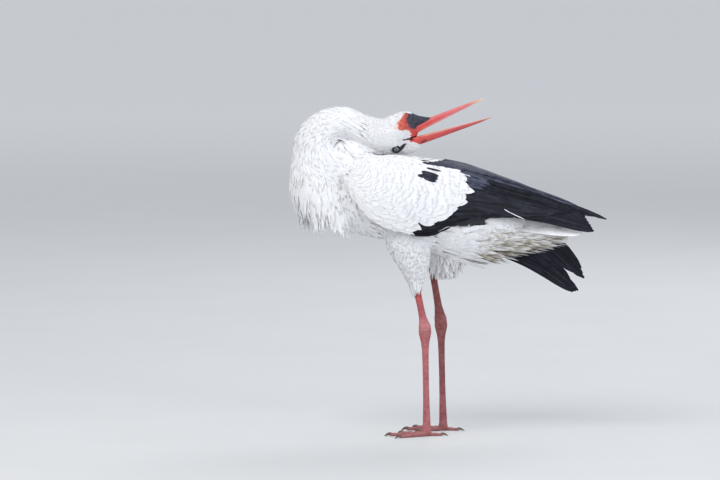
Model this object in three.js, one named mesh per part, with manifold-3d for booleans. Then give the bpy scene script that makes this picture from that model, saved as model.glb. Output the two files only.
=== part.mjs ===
// A life-size white stork (Ciconia ciconia) in its bill-clattering display. It stands on both legs, its
// neck is thrown back in a loop so that the crown lies upside down on the back, and the bill is open.
// Millimetres. The breast faces -X, +Y is the bird's right and +Z is up. The model stands on z = 0, centred
// on its own bounding box.

import * as THREE from "three";
import { mergeVertices } from "three/addons/utils/BufferGeometryUtils.js";
import Module from "manifold-3d";

const wasm = await Module();
wasm.setup();

// ---------------------------------------------------------------- driving dimensions

const GAP = 0.3; // clearance between neighbouring pieces
const LEFT = -1; // side signs: +Y is the bird's right
const RIGHT = 1;

// Rows of the trunk, front to rear: the middle of a section, its half width and its half depth.
const TRUNK = [
  { at: [-236, 0, 500], wide: 18, deep: 20 },
  { at: [-222, 0, 500], wide: 38, deep: 46 },
  { at: [-190, 0, 499], wide: 56, deep: 75 },
  { at: [-150, 0, 492], wide: 70, deep: 87 },
  { at: [-100, 0, 480], wide: 80, deep: 85.5 },
  { at: [-40, 0, 475], wide: 86, deep: 91 },
  { at: [15, 0, 462], wide: 86, deep: 96 },
  { at: [60, 0, 443], wide: 79, deep: 95 },
  { at: [98, 0, 430], wide: 66, deep: 80 },
  { at: [132, 0, 424], wide: 53, deep: 58 },
  { at: [162, 0, 424], wide: 39, deep: 35 },
  { at: [184, 0, 425], wide: 25, deep: 18 },
];
// The mantle: the feathers between the shoulders, raised as far as the neck that lies on them.
const MANTLE = [
  { at: [-214, 0, 560], wide: 22, deep: 20 },
  { at: [-196, 0, 566], wide: 38, deep: 37 },
  { at: [-165, 0, 556], wide: 44, deep: 35 },
  { at: [-130, 0, 544], wide: 42, deep: 29 },
  { at: [-95, 0, 534], wide: 34, deep: 24 },
];
const VENT_TUFT = [
  { at: [22, 20, 392], wide: 40, deep: 32 },
  { at: [10, 24, 350], wide: 22, deep: 22 },
  { at: [4, 27, 320], wide: 8, deep: 8 },
  { at: [2, 28, 311], wide: 2, deep: 2 },
];

// The neck leaves the trunk forwards, loops up and comes back over it, and ends in the head, whose crown is
// its lower side here. Deep is measured in the plane of the loop.
const NECK = [
  { at: [-140, 0, 494], wide: 52, deep: 58 },
  { at: [-196, 0, 520], wide: 52, deep: 60 },
  { at: [-236, 0, 556], wide: 47, deep: 53 },
  { at: [-245, 0, 592], wide: 41, deep: 45 },
  { at: [-227, 0, 622], wide: 36, deep: 38 },
  { at: [-190, 0, 635], wide: 32, deep: 33 },
  { at: [-154, 0, 621], wide: 30, deep: 32.5 },
  { at: [-122, 0, 608], wide: 29, deep: 35 },
  { at: [-100, 0, 606], wide: 28, deep: 37.5 },
  { at: [-80, 0, 609.5], wide: 25.5, deep: 41 },
  { at: [-64, 0, 612.5], wide: 21, deep: 44 },
  { at: [-50, 0, 611.5], wide: 15, deep: 42.5 },
  { at: [-41, 0, 610], wide: 9, deep: 30 },
  { at: [-38, 0, 609], wide: 4, deep: 14 },
];
// The feathered forehead, which runs out in a point on the ridge of the bill.
const FOREHEAD = [
  { at: [-70, 0, 590], wide: 17, deep: 19 },
  { at: [-56, 0, 588], wide: 14, deep: 18.5 },
  { at: [-45, 0, 588], wide: 10.5, deep: 14 },
  { at: [-36, 0, 589.5], wide: 6.5, deep: 8.5 },
  { at: [-32.5, 0, 590.5], wide: 3, deep: 4 },
];
const NECK_EGG = 0.16; // the skull is broader at the crown than at the throat
const GULAR_SKIN = [
  { at: [-66, 0, 636], wide: 13, deep: 16 },
  { at: [-50, 0, 637], wide: 11.5, deep: 16.5 },
  { at: [-36, 0, 637], wide: 9, deep: 12.5 },
  { at: [-20, 0, 639.5], wide: 6.5, deep: 7 },
  { at: [-6, 0, 642.5], wide: 3.5, deep: 2.2 },
];

// The breast plumes hang from the loop as a bib: rows from the top down.
const BIB = [
  { at: [-240, 0, 592], wide: 28, deep: 34 },
  { at: [-241, 0, 565], wide: 47, deep: 54 },
  { at: [-238, 0, 535], wide: 56, deep: 59 },
  { at: [-234, 0, 505], wide: 62, deep: 62 },
  { at: [-221, 0, 472], wide: 66, deep: 61 },
  { at: [-211, 0, 447], wide: 60, deep: 55 },
  { at: [-205, 0, 436], wide: 48, deep: 42 },
];
const PLUME_COUNT = 13; // pointed tips round the bib's lower edge
const PLUME_HALF_WIDTH = 12;
const PLUME_LENGTH = 74;
const PLUME_ARC = 250; // degrees of the bib's rim that bear tips
// Share of the arc from its middle, height of the tip there.
const PLUME_TIPS = [
  [0, 447],
  [0.15, 432],
  [0.3, 404],
  [0.6, 400],
  [1, 408],
];
const FRONT_PLUMES = { at: [-286, 0, 546], tip: [-300, 0, 505], half: 11 }; // these three end higher up

// Where thin cuts divide the neck: a point on its middle line, the line's direction, and the cut's reach.
const CUTS = {
  lowerNeck: { at: [-243, 0, 590], along: [-0.1, 0, 1], radius: 62 },
  upperNeck: { at: [-192, 0, 636], along: [1, 0, -0.22], radius: 45 },
  head: { at: [-112, 0, 607], along: [1, 0, 0], radius: 52 },
};

const EYE = { at: [-80.8, 16.6, 581], radius: 7.5 };
const GAPE = { corner: [-73, 600.5], front: [-20, 606], half: 1.6, open: 4.5 };

// Each mandible runs straight from inside the face to its tip. Rows: share of the length, half width,
// depth. Ridge tells to which side of the biting face its back lies: -1 is down.
const UPPER_BILL = {
  base: [-66, 0, 598.5],
  tip: [112.5, 0, 645.6],
  ridge: -1,
  rows: [
    [0, 8, 12],
    [0.14, 9.2, 17],
    [0.34, 7.4, 14.6],
    [0.6, 5, 10],
    [0.86, 2.8, 5.2],
    [1, 0.8, 1.2],
  ],
};
const LOWER_BILL = {
  base: [-64, 0, 601],
  tip: [97.5, 0, 682.5],
  ridge: 1,
  rows: [
    [0, 7, 13],
    [0.1, 8, 17],
    [0.32, 7.3, 16.2],
    [0.6, 5.1, 11.2],
    [0.86, 3, 6],
    [1, 0.8, 1.2],
  ],
};
const BITE_HOLLOW = 0.12; // how far the biting side is hollowed, as a share of the depth

// The folded wing is a curved sheet. Rows along x: top edge (out, height), bottom edge (out, height) and
// bulge, where out is the distance from the bird's middle plane.
const WING = [
  [-182, 46, 536, 66, 508, 6],
  [-165, 42, 556, 74, 478, 12],
  [-132, 36, 565, 84, 443, 20],
  [-73, 30, 567.5, 90, 417, 27],
  [-12, 26, 562.5, 88, 414, 26],
  [45, 24, 551, 81, 434, 20],
  [90, 23, 536, 72, 439, 14],
  [140, 22, 517, 62, 441, 9],
  [220, 19, 488, 49, 437, 5],
  [276, 16, 468, 43, 425, 3],
  [318, 15, 452, 39, 413, 2],
  [346, 15, 441, 37, 404, 1],
];
const COVERT_SPAN = [-182, 90]; // x reach of the white coverts' pad
const COVERT_THICK = { outside: 9, inside: 12, nose: 34 }; // the nose is the length of its rounded front
// The rear border of the white coverts, seen from the side: x and height.
const COVERT_BORDER = [
  [-46, 640],
  [-24, 558],
  [26, 551],
  [62, 528],
  [77, 503],
  [56, 480],
  [16, 462],
  [-18, 442],
  [-40, 425],
  [-56, 404],
  [-60, 360],
];
const SHOULDER = [-150, 0, 530]; // the joint about which a wing droops
// The right wing hangs a little open. It turns about the shoulder by these degrees. Rows of ease along x
// tell how much farther out its top edge lies, to slide over the flank, and how far its tip fans upwards.
const WING_POSE = {
  [LEFT]: {
    droop: 0,
    spread: 0,
    ease: [
      [-182, 0, 0],
      [346, 0, 0],
    ],
  },
  [RIGHT]: {
    droop: 16.5,
    spread: 2.4,
    ease: [
      [-182, 2, 0],
      [-132, 12, 0],
      [-73, 27, 0],
      [-12, 38, 0],
      [90, 36, 4],
      [220, 24, 40],
      [276, 22, 50],
      [346, 22, 34],
    ],
  },
};
// Feathers on the sheet: root and tip as x and the share of the way from the top edge to the bottom edge.
const STAGGER = 0.5; // each feather lies this much farther out than the one before it
const SCAPULARS = {
  half: 17,
  thick: 1.6,
  lift: 4.5,
  [LEFT]: [
    { root: [20, 0.42], tip: [128, 0.42] },
    { root: [10, 0.3], tip: [162, 0.38] },
    { root: [-4, 0.17], tip: [205, 0.26] },
  ],
};
SCAPULARS[RIGHT] = SCAPULARS[LEFT];
const SECONDARIES = {
  half: 20,
  thick: 1.6,
  lift: 2.2,
  [LEFT]: [
    { root: [-66, 0.92], tip: [14, 0.92] },
    { root: [-36, 0.8], tip: [92, 0.87] },
    { root: [10, 0.68], tip: [176, 0.8] },
    { root: [36, 0.5], tip: [240, 0.66] },
    { root: [52, 0.32], tip: [272, 0.4] },
  ],
};
SECONDARIES[RIGHT] = SECONDARIES[LEFT];
const PRIMARIES = {
  half: 12.5,
  thick: 1.6,
  lift: 0,
  [LEFT]: [
    { root: [130, 0.82], tip: [318, 0.92] },
    { root: [124, 0.68], tip: [312, 0.72] },
    { root: [118, 0.52], tip: [304, 0.5] },
    { root: [112, 0.34], tip: [298, 0.28] },
    { root: [108, 0.16], tip: [345, 0.12], half: 8 },
  ],
  [RIGHT]: [
    { root: [130, 0.84], tip: [333, 0.86], half: 14 },
    { root: [124, 0.68], tip: [343, 0.72], half: 14 },
    { root: [118, 0.5], tip: [318, 0.5], half: 16 },
    { root: [112, 0.32], tip: [346, 0.32], half: 15 },
    { root: [108, 0.14], tip: [334, 0.14], half: 15 },
  ],
};

const TAIL = {
  root: [92, 0, 434],
  tip: [290, 0, 422],
  count: 5,
  spread: 6, // degrees between the outermost feather and the middle
  half: 18,
  thick: 1.8,
  roof: 9, // how far the outermost feathers sink below the middle ones
};
// Under-tail coverts and vent plumes: root, tip, half width.
const UNDERTAIL = [
  { root: [62, 0, 402], tip: [263, 6, 404], half: 16 },
  { root: [60, 0, 390], tip: [220, -8, 387], half: 20 },
  { root: [50, 0, 378], tip: [178, 0, 364], half: 19 },
  { root: [36, 0, 366], tip: [116, 10, 350], half: 20 },
];
const UNDERTAIL_THICK = 5;
const UNDERTAIL_CORE = [
  { at: [140, 0, 402], wide: 34, deep: 34 },
  { at: [185, 0, 405], wide: 28, deep: 22 },
  { at: [225, 0, 408], wide: 19, deep: 12 },
  { at: [266, 0, 409], wide: 6, deep: 3 },
];

// Each leg: rows of the feathered thigh, and where the bare shin, the tarsus and the foot begin.
const LEGS = {
  [LEFT]: {
    thigh: [
      { at: [-60, 44, 440], wide: 30, deep: 46 },
      { at: [-58, 45, 403], wide: 33, deep: 46 },
      { at: [-45, 45, 355], wide: 27, deep: 34 },
      { at: [-39, 44, 318], wide: 17, deep: 20.5 },
      { at: [-35, 44, 300], wide: 10, deep: 12 },
      { at: [-33, 44, 291], wide: 4, deep: 5 },
    ],
    knee: [-38, 44, 312],
    ankle: [-23, 43, 220],
    heel: [-19, 43, 20],
  },
  [RIGHT]: {
    thigh: [
      { at: [-20, 44, 430], wide: 30, deep: 48 },
      { at: [-16, 45, 400], wide: 31, deep: 44 },
      { at: [-9, 45, 368], wide: 23, deep: 28 },
      { at: [-6, 44, 346], wide: 12, deep: 14 },
      { at: [-5, 44, 338], wide: 4, deep: 5 },
    ],
    knee: [-12, 44, 362],
    ankle: [11, 43, 225],
    heel: [16, 43, 20],
  },
};
const SHIN_RADIUS = 7.2;
const ANKLE_SIZE = { wide: 9.5, deep: 13 };
const TARSUS_RADIUS = 6.2;
const FOOT_JOINT_RADIUS = 8.5;
// Toes: the angle from straight ahead (outwards is positive), length to the claw, radius at the root.
const TOES = [
  { name: "inner", turn: -29, length: 57, radius: 5 },
  { name: "middle", turn: 1, length: 74, radius: 5.2 },
  { name: "outer", turn: 30, length: 63, radius: 5 },
  { name: "hind", turn: 187, length: 32, radius: 4.2 },
];
const TOE_SINK = 0.8; // how much of each toe pad is pressed flat
const CLAW_LENGTH = 12;
const WEB_REACH = 17; // of the skin between the toes, from the foot's middle

const COLOURS = {
  plumage: { color: "#f2f1f4", roughness: 0.85 },
  flight: { color: "#15151b", roughness: 0.5 },
  bill: { color: "#d9483c", roughness: 0.45 },
  leg: { color: "#cf5a5c", roughness: 0.6 },
  claw: { color: "#5a3532", roughness: 0.4 },
  eye: { color: "#2c3036", roughness: 0.08 },
};

// ---------------------------------------------------------------- small helpers

const vec = (p) => new THREE.Vector3(...p);
const radians = THREE.MathUtils.degToRad;
const lerp = THREE.MathUtils.lerp;
const clamp = THREE.MathUtils.clamp;

// Values at x between the rows of a table whose first column is x: a cubic through the rows.
function between(rows, x) {
  const last = rows.length - 1;
  const found = rows.findIndex((row) => row[0] > x);
  const i = found < 0 ? last - 1 : clamp(found - 1, 0, last - 1);
  const before = rows[Math.max(i - 1, 0)];
  const low = rows[i];
  const high = rows[i + 1];
  const after = rows[Math.min(i + 2, last)];
  const step = high[0] - low[0];
  const t = clamp((x - low[0]) / step, 0, 1);
  return low.slice(1).map((value, k) => {
    const c = k + 1;
    const leave = ((high[c] - before[c]) / (high[0] - before[0])) * step;
    const arrive = ((after[c] - low[c]) / (after[0] - low[0])) * step;
    const rise = high[c] - value;
    return value + t * (leave + t * (3 * rise - 2 * leave - arrive + t * (leave + arrive - 2 * rise)));
  });
}

// A geometry's closed surface as a solid, turned right side out if it was built inside out.
function solidOf(geometry) {
  const bare = new THREE.BufferGeometry().setAttribute("position", geometry.getAttribute("position"));
  bare.setIndex(geometry.index);
  const merged = mergeVertices(bare, 1e-4);
  const corners = new Uint32Array(merged.index.array);
  const vertProperties = merged.attributes.position.array;
  const build = () => new wasm.Manifold(new wasm.Mesh({ numProp: 3, vertProperties, triVerts: corners }));
  const made = build();
  if (made.volume() >= 0) return made;
  for (let i = 0; i < corners.length; i += 3) {
    [corners[i + 1], corners[i + 2]] = [corners[i + 2], corners[i + 1]];
  }
  return build();
}

// A closed surface through rings with equally many points. A fan round its centre closes each end.
function loft(rings) {
  const n = rings[0].length;
  const points = rings.flat();
  const faces = [];
  for (let i = 0; i + 1 < rings.length; i++) {
    for (let j = 0; j < n; j++) {
      const a = i * n + j;
      const b = i * n + ((j + 1) % n);
      faces.push(a, b, a + n, b, b + n, a + n);
    }
  }
  for (const ring of [0, rings.length - 1]) {
    const centre = rings[ring].reduce((sum, p) => sum.add(p), new THREE.Vector3()).divideScalar(n);
    const hub = points.push(centre) - 1;
    for (let j = 0; j < n; j++) {
      const a = ring * n + j;
      const b = ring * n + ((j + 1) % n);
      faces.push(...(ring === 0 ? [b, a, hub] : [a, b, hub]));
    }
  }
  return solidOf(new THREE.BufferGeometry().setFromPoints(points).setIndex(faces));
}

// A round limb through its rows. Its width lies as near to Y as the path allows, its depth in the plane of
// the path.
// Egg narrows the side that the depth points to. Grow makes it larger all over, for cutting clearances.
function limb(rows, { grow = 0, steps = 8, sides = 12, egg = 0 } = {}) {
  const path = new THREE.CatmullRomCurve3(rows.map((row) => vec(row.at)));
  const sizes = new THREE.CatmullRomCurve3(rows.map((row) => new THREE.Vector3(row.wide, row.deep, 0)));
  const rings = [];
  for (let i = 0; i <= steps; i++) {
    const t = i / steps;
    const along = path.getTangent(t);
    const across = new THREE.Vector3(0, 1, 0).projectOnPlane(along).normalize();
    const through = along.clone().cross(across);
    const end = i === 0 ? -grow : i === steps ? grow : 0;
    const centre = path.getPoint(t).addScaledVector(along, end);
    const { x: wide, y: deep } = sizes.getPoint(t);
    rings.push(
      Array.from({ length: sides }, (_, j) => {
        const turn = (2 * Math.PI * j) / sides;
        return centre
          .clone()
          .addScaledVector(across, (wide + grow) * Math.cos(turn) * (1 - egg * Math.sin(turn)))
          .addScaledVector(through, (deep + grow) * Math.sin(turn));
      }),
    );
  }
  return loft(rings);
}

const union = (solids) => wasm.Manifold.union(solids);

// The biggest of the bodies that a cut leaves.
function largest(solid) {
  const bodies = solid.decompose();
  return bodies.reduce((best, body) => (body.volume() > best.volume() ? body : best));
}

function onSide(side, [x, y, z]) {
  return new THREE.Vector3(x, side * y, z);
}

function mirrored(rows, side) {
  return rows.map((row) => ({ ...row, at: onSide(side, row.at).toArray() }));
}

// ---------------------------------------------------------------- neck and head

// A thin disc across a limb, which parts it in two.
function slice({ at, along, radius }) {
  const disc = new THREE.CylinderGeometry(radius, radius, GAP, 16);
  const up = new THREE.Vector3(0, 1, 0);
  disc.applyQuaternion(new THREE.Quaternion().setFromUnitVectors(up, vec(along).normalize()));
  return solidOf(disc.translate(...at));
}

// One hanging plume: a flattened spike from its root to its pointed tip.
function plume(root, tip, half, grow = 0) {
  const profile = [
    [0, 0.8],
    [0.5, 0.95],
    [1, 0.12],
  ];
  const out = vec([root[0] - BIB[3].at[0], root[1], 0]).normalize();
  const along = vec(tip).sub(vec(root)).normalize();
  const across = along.clone().cross(out).normalize();
  return loft(
    profile.map(([t, share]) => {
      const centre = vec(root).lerp(vec(tip), t);
      const at = (y, z) => centre.clone().addScaledVector(across, y).addScaledVector(out, z);
      const wide = half * share + grow;
      const thick = half * 0.42 * share + grow;
      return [at(wide, 0), at(0, thick), at(-wide, 0), at(0, -thick)];
    }),
  );
}

// The bib of breast plumes with its ragged lower edge. Every other tip ends a little higher.
function bib(grow) {
  const tips = Array.from({ length: PLUME_COUNT }, (_, i) => {
    const share = (2 * i) / (PLUME_COUNT - 1) - 1;
    const turn = radians(180 + share * PLUME_ARC * 0.5);
    const height = between(PLUME_TIPS, Math.abs(share))[0] + (i % 2) * 13;
    const rim = (row, shrink) => {
      const x = row.at[0] + Math.cos(turn) * (row.deep - shrink);
      return [x, Math.sin(turn) * (row.wide - shrink)];
    };
    const root = [...rim(BIB[4], 7), height + PLUME_LENGTH];
    return plume(root, [...rim(BIB[5], 3), height], PLUME_HALF_WIDTH, grow);
  });
  const front = [-1, 0, 1].map((k) => {
    const { at, tip, half } = FRONT_PLUMES;
    const y = k * half * 1.8;
    const back = Math.abs(k);
    return plume([at[0] + back * 5, y, at[2]], [tip[0] + back * 7, y, tip[2]], half, grow);
  });
  return union([limb(BIB, { grow, steps: 5, sides: 12 }), ...tips, ...front]);
}

function eyeball(side, grow = 0) {
  const ball = new THREE.SphereGeometry(EYE.radius + grow, 9, 6).rotateX(Math.PI / 2);
  return solidOf(ball.translate(EYE.at[0], side * EYE.at[1], EYE.at[2]));
}

// The open corner of the mouth: a wedge whose edge is at the gape.
function gapeWedge() {
  const { corner, front, half, open } = GAPE;
  const shape = new THREE.Shape([
    new THREE.Vector2(corner[0], corner[1] - half * 0.4),
    new THREE.Vector2(front[0], front[1] - open),
    new THREE.Vector2(front[0], front[1] + open),
    new THREE.Vector2(corner[0], corner[1] + half * 0.4),
  ]);
  const wedge = new THREE.ExtrudeGeometry(shape, { depth: 70, bevelEnabled: false });
  return solidOf(wedge.rotateX(Math.PI / 2).translate(0, 35, 0));
}

// The whole neck with the skull and the throat skin as one body.
function wholeNeck(grow) {
  return union([
    limb(NECK, { grow, steps: 19, sides: 12, egg: NECK_EGG }),
    limb(FOREHEAD, { grow, steps: 3, sides: 8 }),
    limb(GULAR_SKIN, { grow, steps: 4, sides: 7 }),
    bib(grow),
  ]);
}

// One mandible: a half-round section whose flat side, a little hollow, is the biting side.
function mandible({ base, tip, ridge, rows }, grow = 0) {
  const [start, end] = [vec(base), vec(tip)];
  const along = end.clone().sub(start).normalize();
  const across = new THREE.Vector3(0, 1, 0);
  const away = along.clone().cross(across).multiplyScalar(ridge);
  return loft(
    rows.map(([share, half, depth]) => {
      const centre = start.clone().lerp(end, share).addScaledVector(along, share === 0 ? -grow : 0);
      const point = (y, z) => centre.clone().addScaledVector(across, y).addScaledVector(away, z);
      const back = Array.from({ length: 7 }, (_, j) => {
        const turn = (Math.PI * j) / 6;
        return point((half + grow) * Math.cos(turn), lerp(-grow, depth + grow, Math.sin(turn) ** 0.8));
      });
      const floor = depth * BITE_HOLLOW - grow;
      return [...back, point(-half * 0.5, floor), point(half * 0.5, floor)];
    }),
  );
}

// ---------------------------------------------------------------- wings

// Carries a point of a folded wing to its side, with that wing's droop and spread about the shoulder.
function wingPlace(side) {
  const { droop, spread } = WING_POSE[side];
  const turn = new THREE.Matrix4()
    .makeRotationZ(radians(side * spread))
    .multiply(new THREE.Matrix4().makeRotationY(radians(droop)));
  const [x, y, z] = SHOULDER;
  const about = new THREE.Matrix4().makeTranslation(x, y, z).multiply(turn);
  return about.multiply(new THREE.Matrix4().makeTranslation(-x, -y, -z));
}

// A wing's top edge and bottom edge at x, as out and height, and how far its sheet bulges between them.
function wingRow(side, x) {
  const [topOut, topUp, lowOut, lowUp, bulge] = between(WING, x);
  const [slide, fan] = between(WING_POSE[side].ease, x);
  const top = new THREE.Vector2(topOut + slide, topUp + fan);
  return { top, low: new THREE.Vector2(lowOut, lowUp), bulge };
}

// The point of a wing's sheet at x, a share v of the way from top edge to bottom edge, lifted off it.
function sheet(side, x, v, lift) {
  const { top, low, bulge } = wingRow(side, x);
  const chord = low.clone().sub(top);
  const out = new THREE.Vector2(-chord.y, chord.x).normalize();
  const lean = (-4 * bulge * (1 - 2 * v)) / chord.lengthSq();
  const normal = out.clone().addScaledVector(chord, lean).normalize();
  const p = top.clone().addScaledVector(chord, v).addScaledVector(out, 4 * bulge * v * (1 - v));
  p.addScaledVector(normal, lift);
  return new THREE.Vector3(x, side * p.x, p.y);
}

// One feather on a wing's sheet: a flat plate that narrows to a rounded tip.
function blade(side, { root, tip, half }, { half: usual, thick, lift }, grow = 0) {
  return loft(
    [0, 0.5, 0.86, 1].map((share) => {
      const x = lerp(root[0], tip[0], share);
      const v = lerp(root[1], tip[1], share);
      const { top, low } = wingRow(side, x);
      const height = top.distanceTo(low);
      const rounding = Math.sqrt(1 - Math.max(0, (share - 0.6) / 0.41) ** 2);
      const width = (half ?? usual) * lerp(0.75, 1, Math.min(1, share / 0.5)) * rounding + grow;
      const at = (across, up) => sheet(side, x, v + across / height, lift + up);
      const edge = thick * 0.5 + grow;
      return [at(-width, -edge), at(-width, edge), at(width, edge), at(width, -edge)];
    }),
  );
}

// A row of feathers as one body, laid like shingles.
function feathers(side, group, grow = 0) {
  const lift = (i) => group.lift + i * STAGGER;
  return union(group[side].map((one, i) => blade(side, one, { ...group, lift: lift(i) }, grow)));
}

// The pad of white coverts over the arm: a thick sheet, trimmed at the rear to its rounded border.
function coverts(side, grow = 0) {
  const [from, to] = COVERT_SPAN;
  const { outside, inside, nose } = COVERT_THICK;
  const STEPS = 8;
  const ACROSS = 5;
  const BORDER_STEPS = 11;
  const rings = Array.from({ length: STEPS + 1 }, (_, i) => {
    const x = lerp(from, to, i / STEPS);
    const rounding = Math.sqrt(1 - (1 - clamp((x - from) / nose, 0.03, 1)) ** 2);
    const { top, low } = wingRow(side, x);
    const margin = grow / top.distanceTo(low);
    const face = (thick, way) =>
      Array.from({ length: ACROSS + 1 }, (_, k) => {
        const edge = Math.sqrt(Math.sin(Math.PI * clamp(k / ACROSS, 0.06, 0.94)));
        const v = lerp(-margin, 1 + margin, k / ACROSS);
        return sheet(side, x, v, way * (thick * edge * rounding + grow));
      });
    const ring = [...face(outside, 1), ...face(inside, -1).reverse()];
    if (i === 0) ring.forEach((p) => p.setX(p.x - grow));
    return ring;
  });
  const rim = new THREE.SplineCurve(COVERT_BORDER.map(([x, z]) => new THREE.Vector2(x, z)));
  const border = Array.from({ length: BORDER_STEPS + 1 }, (_, i) => {
    const { x, y } = rim.getTangent(i / BORDER_STEPS);
    return rim.getPoint(i / BORDER_STEPS).add(new THREE.Vector2(-y, x).multiplyScalar(1.5 * grow));
  });
  const front = from - 20;
  const corners = [COVERT_BORDER.at(-1)[1], COVERT_BORDER[0][1]].map((z) => new THREE.Vector2(front, z));
  const outline = new THREE.Shape([...corners, ...border]);
  const block = new THREE.ExtrudeGeometry(outline, { depth: 400, bevelEnabled: false });
  return loft(rings).intersect(solidOf(block.rotateX(Math.PI / 2).translate(0, 200, 0)));
}

// ---------------------------------------------------------------- tail

function quill(root, tip, half, thick, grow = 0) {
  const [start, end] = [vec(root), vec(tip)];
  const along = end.clone().sub(start).normalize();
  const across = new THREE.Vector3(0, 1, 0).projectOnPlane(along).normalize();
  const up = along.clone().cross(across);
  const profile = [
    [0, 0.7],
    [0.8, 0.95],
    [1, 0.25],
  ];
  return loft(
    profile.map(([share, wide]) => {
      const centre = start.clone().lerp(end, share);
      const at = (y, z) => centre.clone().addScaledVector(across, y).addScaledVector(up, z);
      const w = half * wide + grow;
      const t = thick * 0.5 * (1 - 0.6 * share) + 0.4 + grow;
      return [at(-w, -t), at(-w, t), at(w, t), at(w, -t)];
    }),
  );
}

function tail(grow = 0) {
  const { root, tip, count, spread, half, thick, roof } = TAIL;
  const reach = tip[0] - root[0];
  return union(
    Array.from({ length: count }, (_, i) => {
      const share = (2 * i) / (count - 1) - 1;
      const turn = radians(share * spread);
      const sink = roof * Math.abs(share) - 0.5 * (1 - Math.abs(share));
      const start = [root[0], root[1] + share * 13, root[2] - sink * 0.4];
      const x = root[0] + reach * (1 - 0.05 * share * share);
      return quill(start, [x, start[1] + Math.sin(turn) * reach, tip[2] - sink], half, thick, grow);
    }),
  );
}

function undertail(grow = 0) {
  const plumes = UNDERTAIL.map(({ root, tip, half }) => quill(root, tip, half, UNDERTAIL_THICK, grow));
  return union([limb(UNDERTAIL_CORE, { grow, steps: 3, sides: 8 }), ...plumes]);
}

// ---------------------------------------------------------------- legs

const FLOOR = solidOf(new THREE.BoxGeometry(2000, 2000, 200).translate(0, 0, -100));

function shin(side, grow = 0) {
  const { knee, ankle } = LEGS[side];
  const at = (share) => onSide(side, knee).lerp(onSide(side, ankle), share).toArray();
  return limb(
    [
      { at: at(0), wide: SHIN_RADIUS, deep: SHIN_RADIUS * 1.05 },
      { at: at(0.5), wide: SHIN_RADIUS * 0.92, deep: SHIN_RADIUS },
      { at: at(0.8), wide: SHIN_RADIUS, deep: SHIN_RADIUS * 1.2 },
      { at: at(0.96), wide: ANKLE_SIZE.wide, deep: ANKLE_SIZE.deep * 0.9 },
    ],
    { grow, steps: 5, sides: 8 },
  );
}

function tarsus(side, grow = 0) {
  const { ankle, heel } = LEGS[side];
  const at = (share) => onSide(side, ankle).lerp(onSide(side, heel), share).toArray();
  return limb(
    [
      { at: at(-0.035), wide: ANKLE_SIZE.wide * 0.9, deep: ANKLE_SIZE.deep * 0.9 },
      { at: at(0.04), wide: ANKLE_SIZE.wide, deep: ANKLE_SIZE.deep },
      { at: at(0.14), wide: ANKLE_SIZE.wide * 0.8, deep: ANKLE_SIZE.deep * 0.66 },
      { at: at(0.3), wide: TARSUS_RADIUS * 0.9, deep: TARSUS_RADIUS * 1.04 },
      { at: at(0.7), wide: TARSUS_RADIUS * 0.9, deep: TARSUS_RADIUS * 1.04 },
      { at: at(0.93), wide: TARSUS_RADIUS * 1.15, deep: TARSUS_RADIUS * 1.2 },
    ],
    { grow, steps: 7, sides: 8 },
  );
}

// A toe's direction on the floor, from straight ahead (-X) towards the bird's own outer side.
function toeDirection(side, turn) {
  return new THREE.Vector3(-Math.cos(radians(turn)), side * Math.sin(radians(turn)), 0);
}

function toe(side, { turn, length, radius }, grow = 0) {
  const { heel } = LEGS[side];
  const ahead = toeDirection(side, turn);
  const rows = [0, 0.33, 0.67, 1].map((share) => {
    const size = radius * lerp(1, 0.74, share);
    const place = vec([heel[0], side * heel[1], size - TOE_SINK]).addScaledVector(ahead, length * share);
    return { at: place.toArray(), wide: size, deep: size };
  });
  return limb(rows, { grow, steps: 3, sides: 6 });
}

function web(side) {
  const { heel } = LEGS[side];
  const middle = vec([heel[0], side * heel[1], 0]);
  const reach = (turn) => middle.clone().addScaledVector(toeDirection(side, turn), WEB_REACH);
  const [inner, centre, outer] = TOES.map((toe) => toe.turn);
  const corners = [middle, reach(inner * 0.9), reach(centre), reach(outer * 0.9)];
  const shape = new THREE.Shape(corners.map((p) => new THREE.Vector2(p.x, p.y)));
  return solidOf(new THREE.ExtrudeGeometry(shape, { depth: 3, bevelEnabled: false }).translate(0, 0, 2));
}

function foot(side, grow = 0) {
  const { heel } = LEGS[side];
  const at = (height) => [heel[0], side * heel[1], height];
  const stem = limb(
    [
      { at: at(0), wide: FOOT_JOINT_RADIUS * 0.7, deep: FOOT_JOINT_RADIUS * 0.8 },
      { at: at(9), wide: FOOT_JOINT_RADIUS, deep: FOOT_JOINT_RADIUS * 1.1 },
      { at: at(20), wide: TARSUS_RADIUS * 1.2, deep: TARSUS_RADIUS * 1.2 },
      { at: at(31), wide: TARSUS_RADIUS * 1.12, deep: TARSUS_RADIUS * 1.18 },
    ],
    { grow, steps: 3, sides: 8 },
  );
  return union([stem, web(side), ...TOES.map((one) => toe(side, one, grow))]).subtract(FLOOR);
}

function claw(side, { turn, length, radius }) {
  const { heel } = LEGS[side];
  const ahead = toeDirection(side, turn);
  const at = (reach, height) =>
    vec([heel[0], side * heel[1], height]).addScaledVector(ahead, length + reach).toArray();
  const size = radius * 0.6;
  return limb(
    [
      { at: at(-2, size + 1.6), wide: size * 0.9, deep: size },
      { at: at(CLAW_LENGTH * 0.6, size + 0.6), wide: size * 0.66, deep: size * 0.66 },
      { at: at(CLAW_LENGTH, 0.3), wide: 0.8, deep: 0.6 },
    ],
    { steps: 2, sides: 5 },
  ).subtract(FLOOR);
}

// ---------------------------------------------------------------- the bird

const bird = new THREE.Group();

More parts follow.
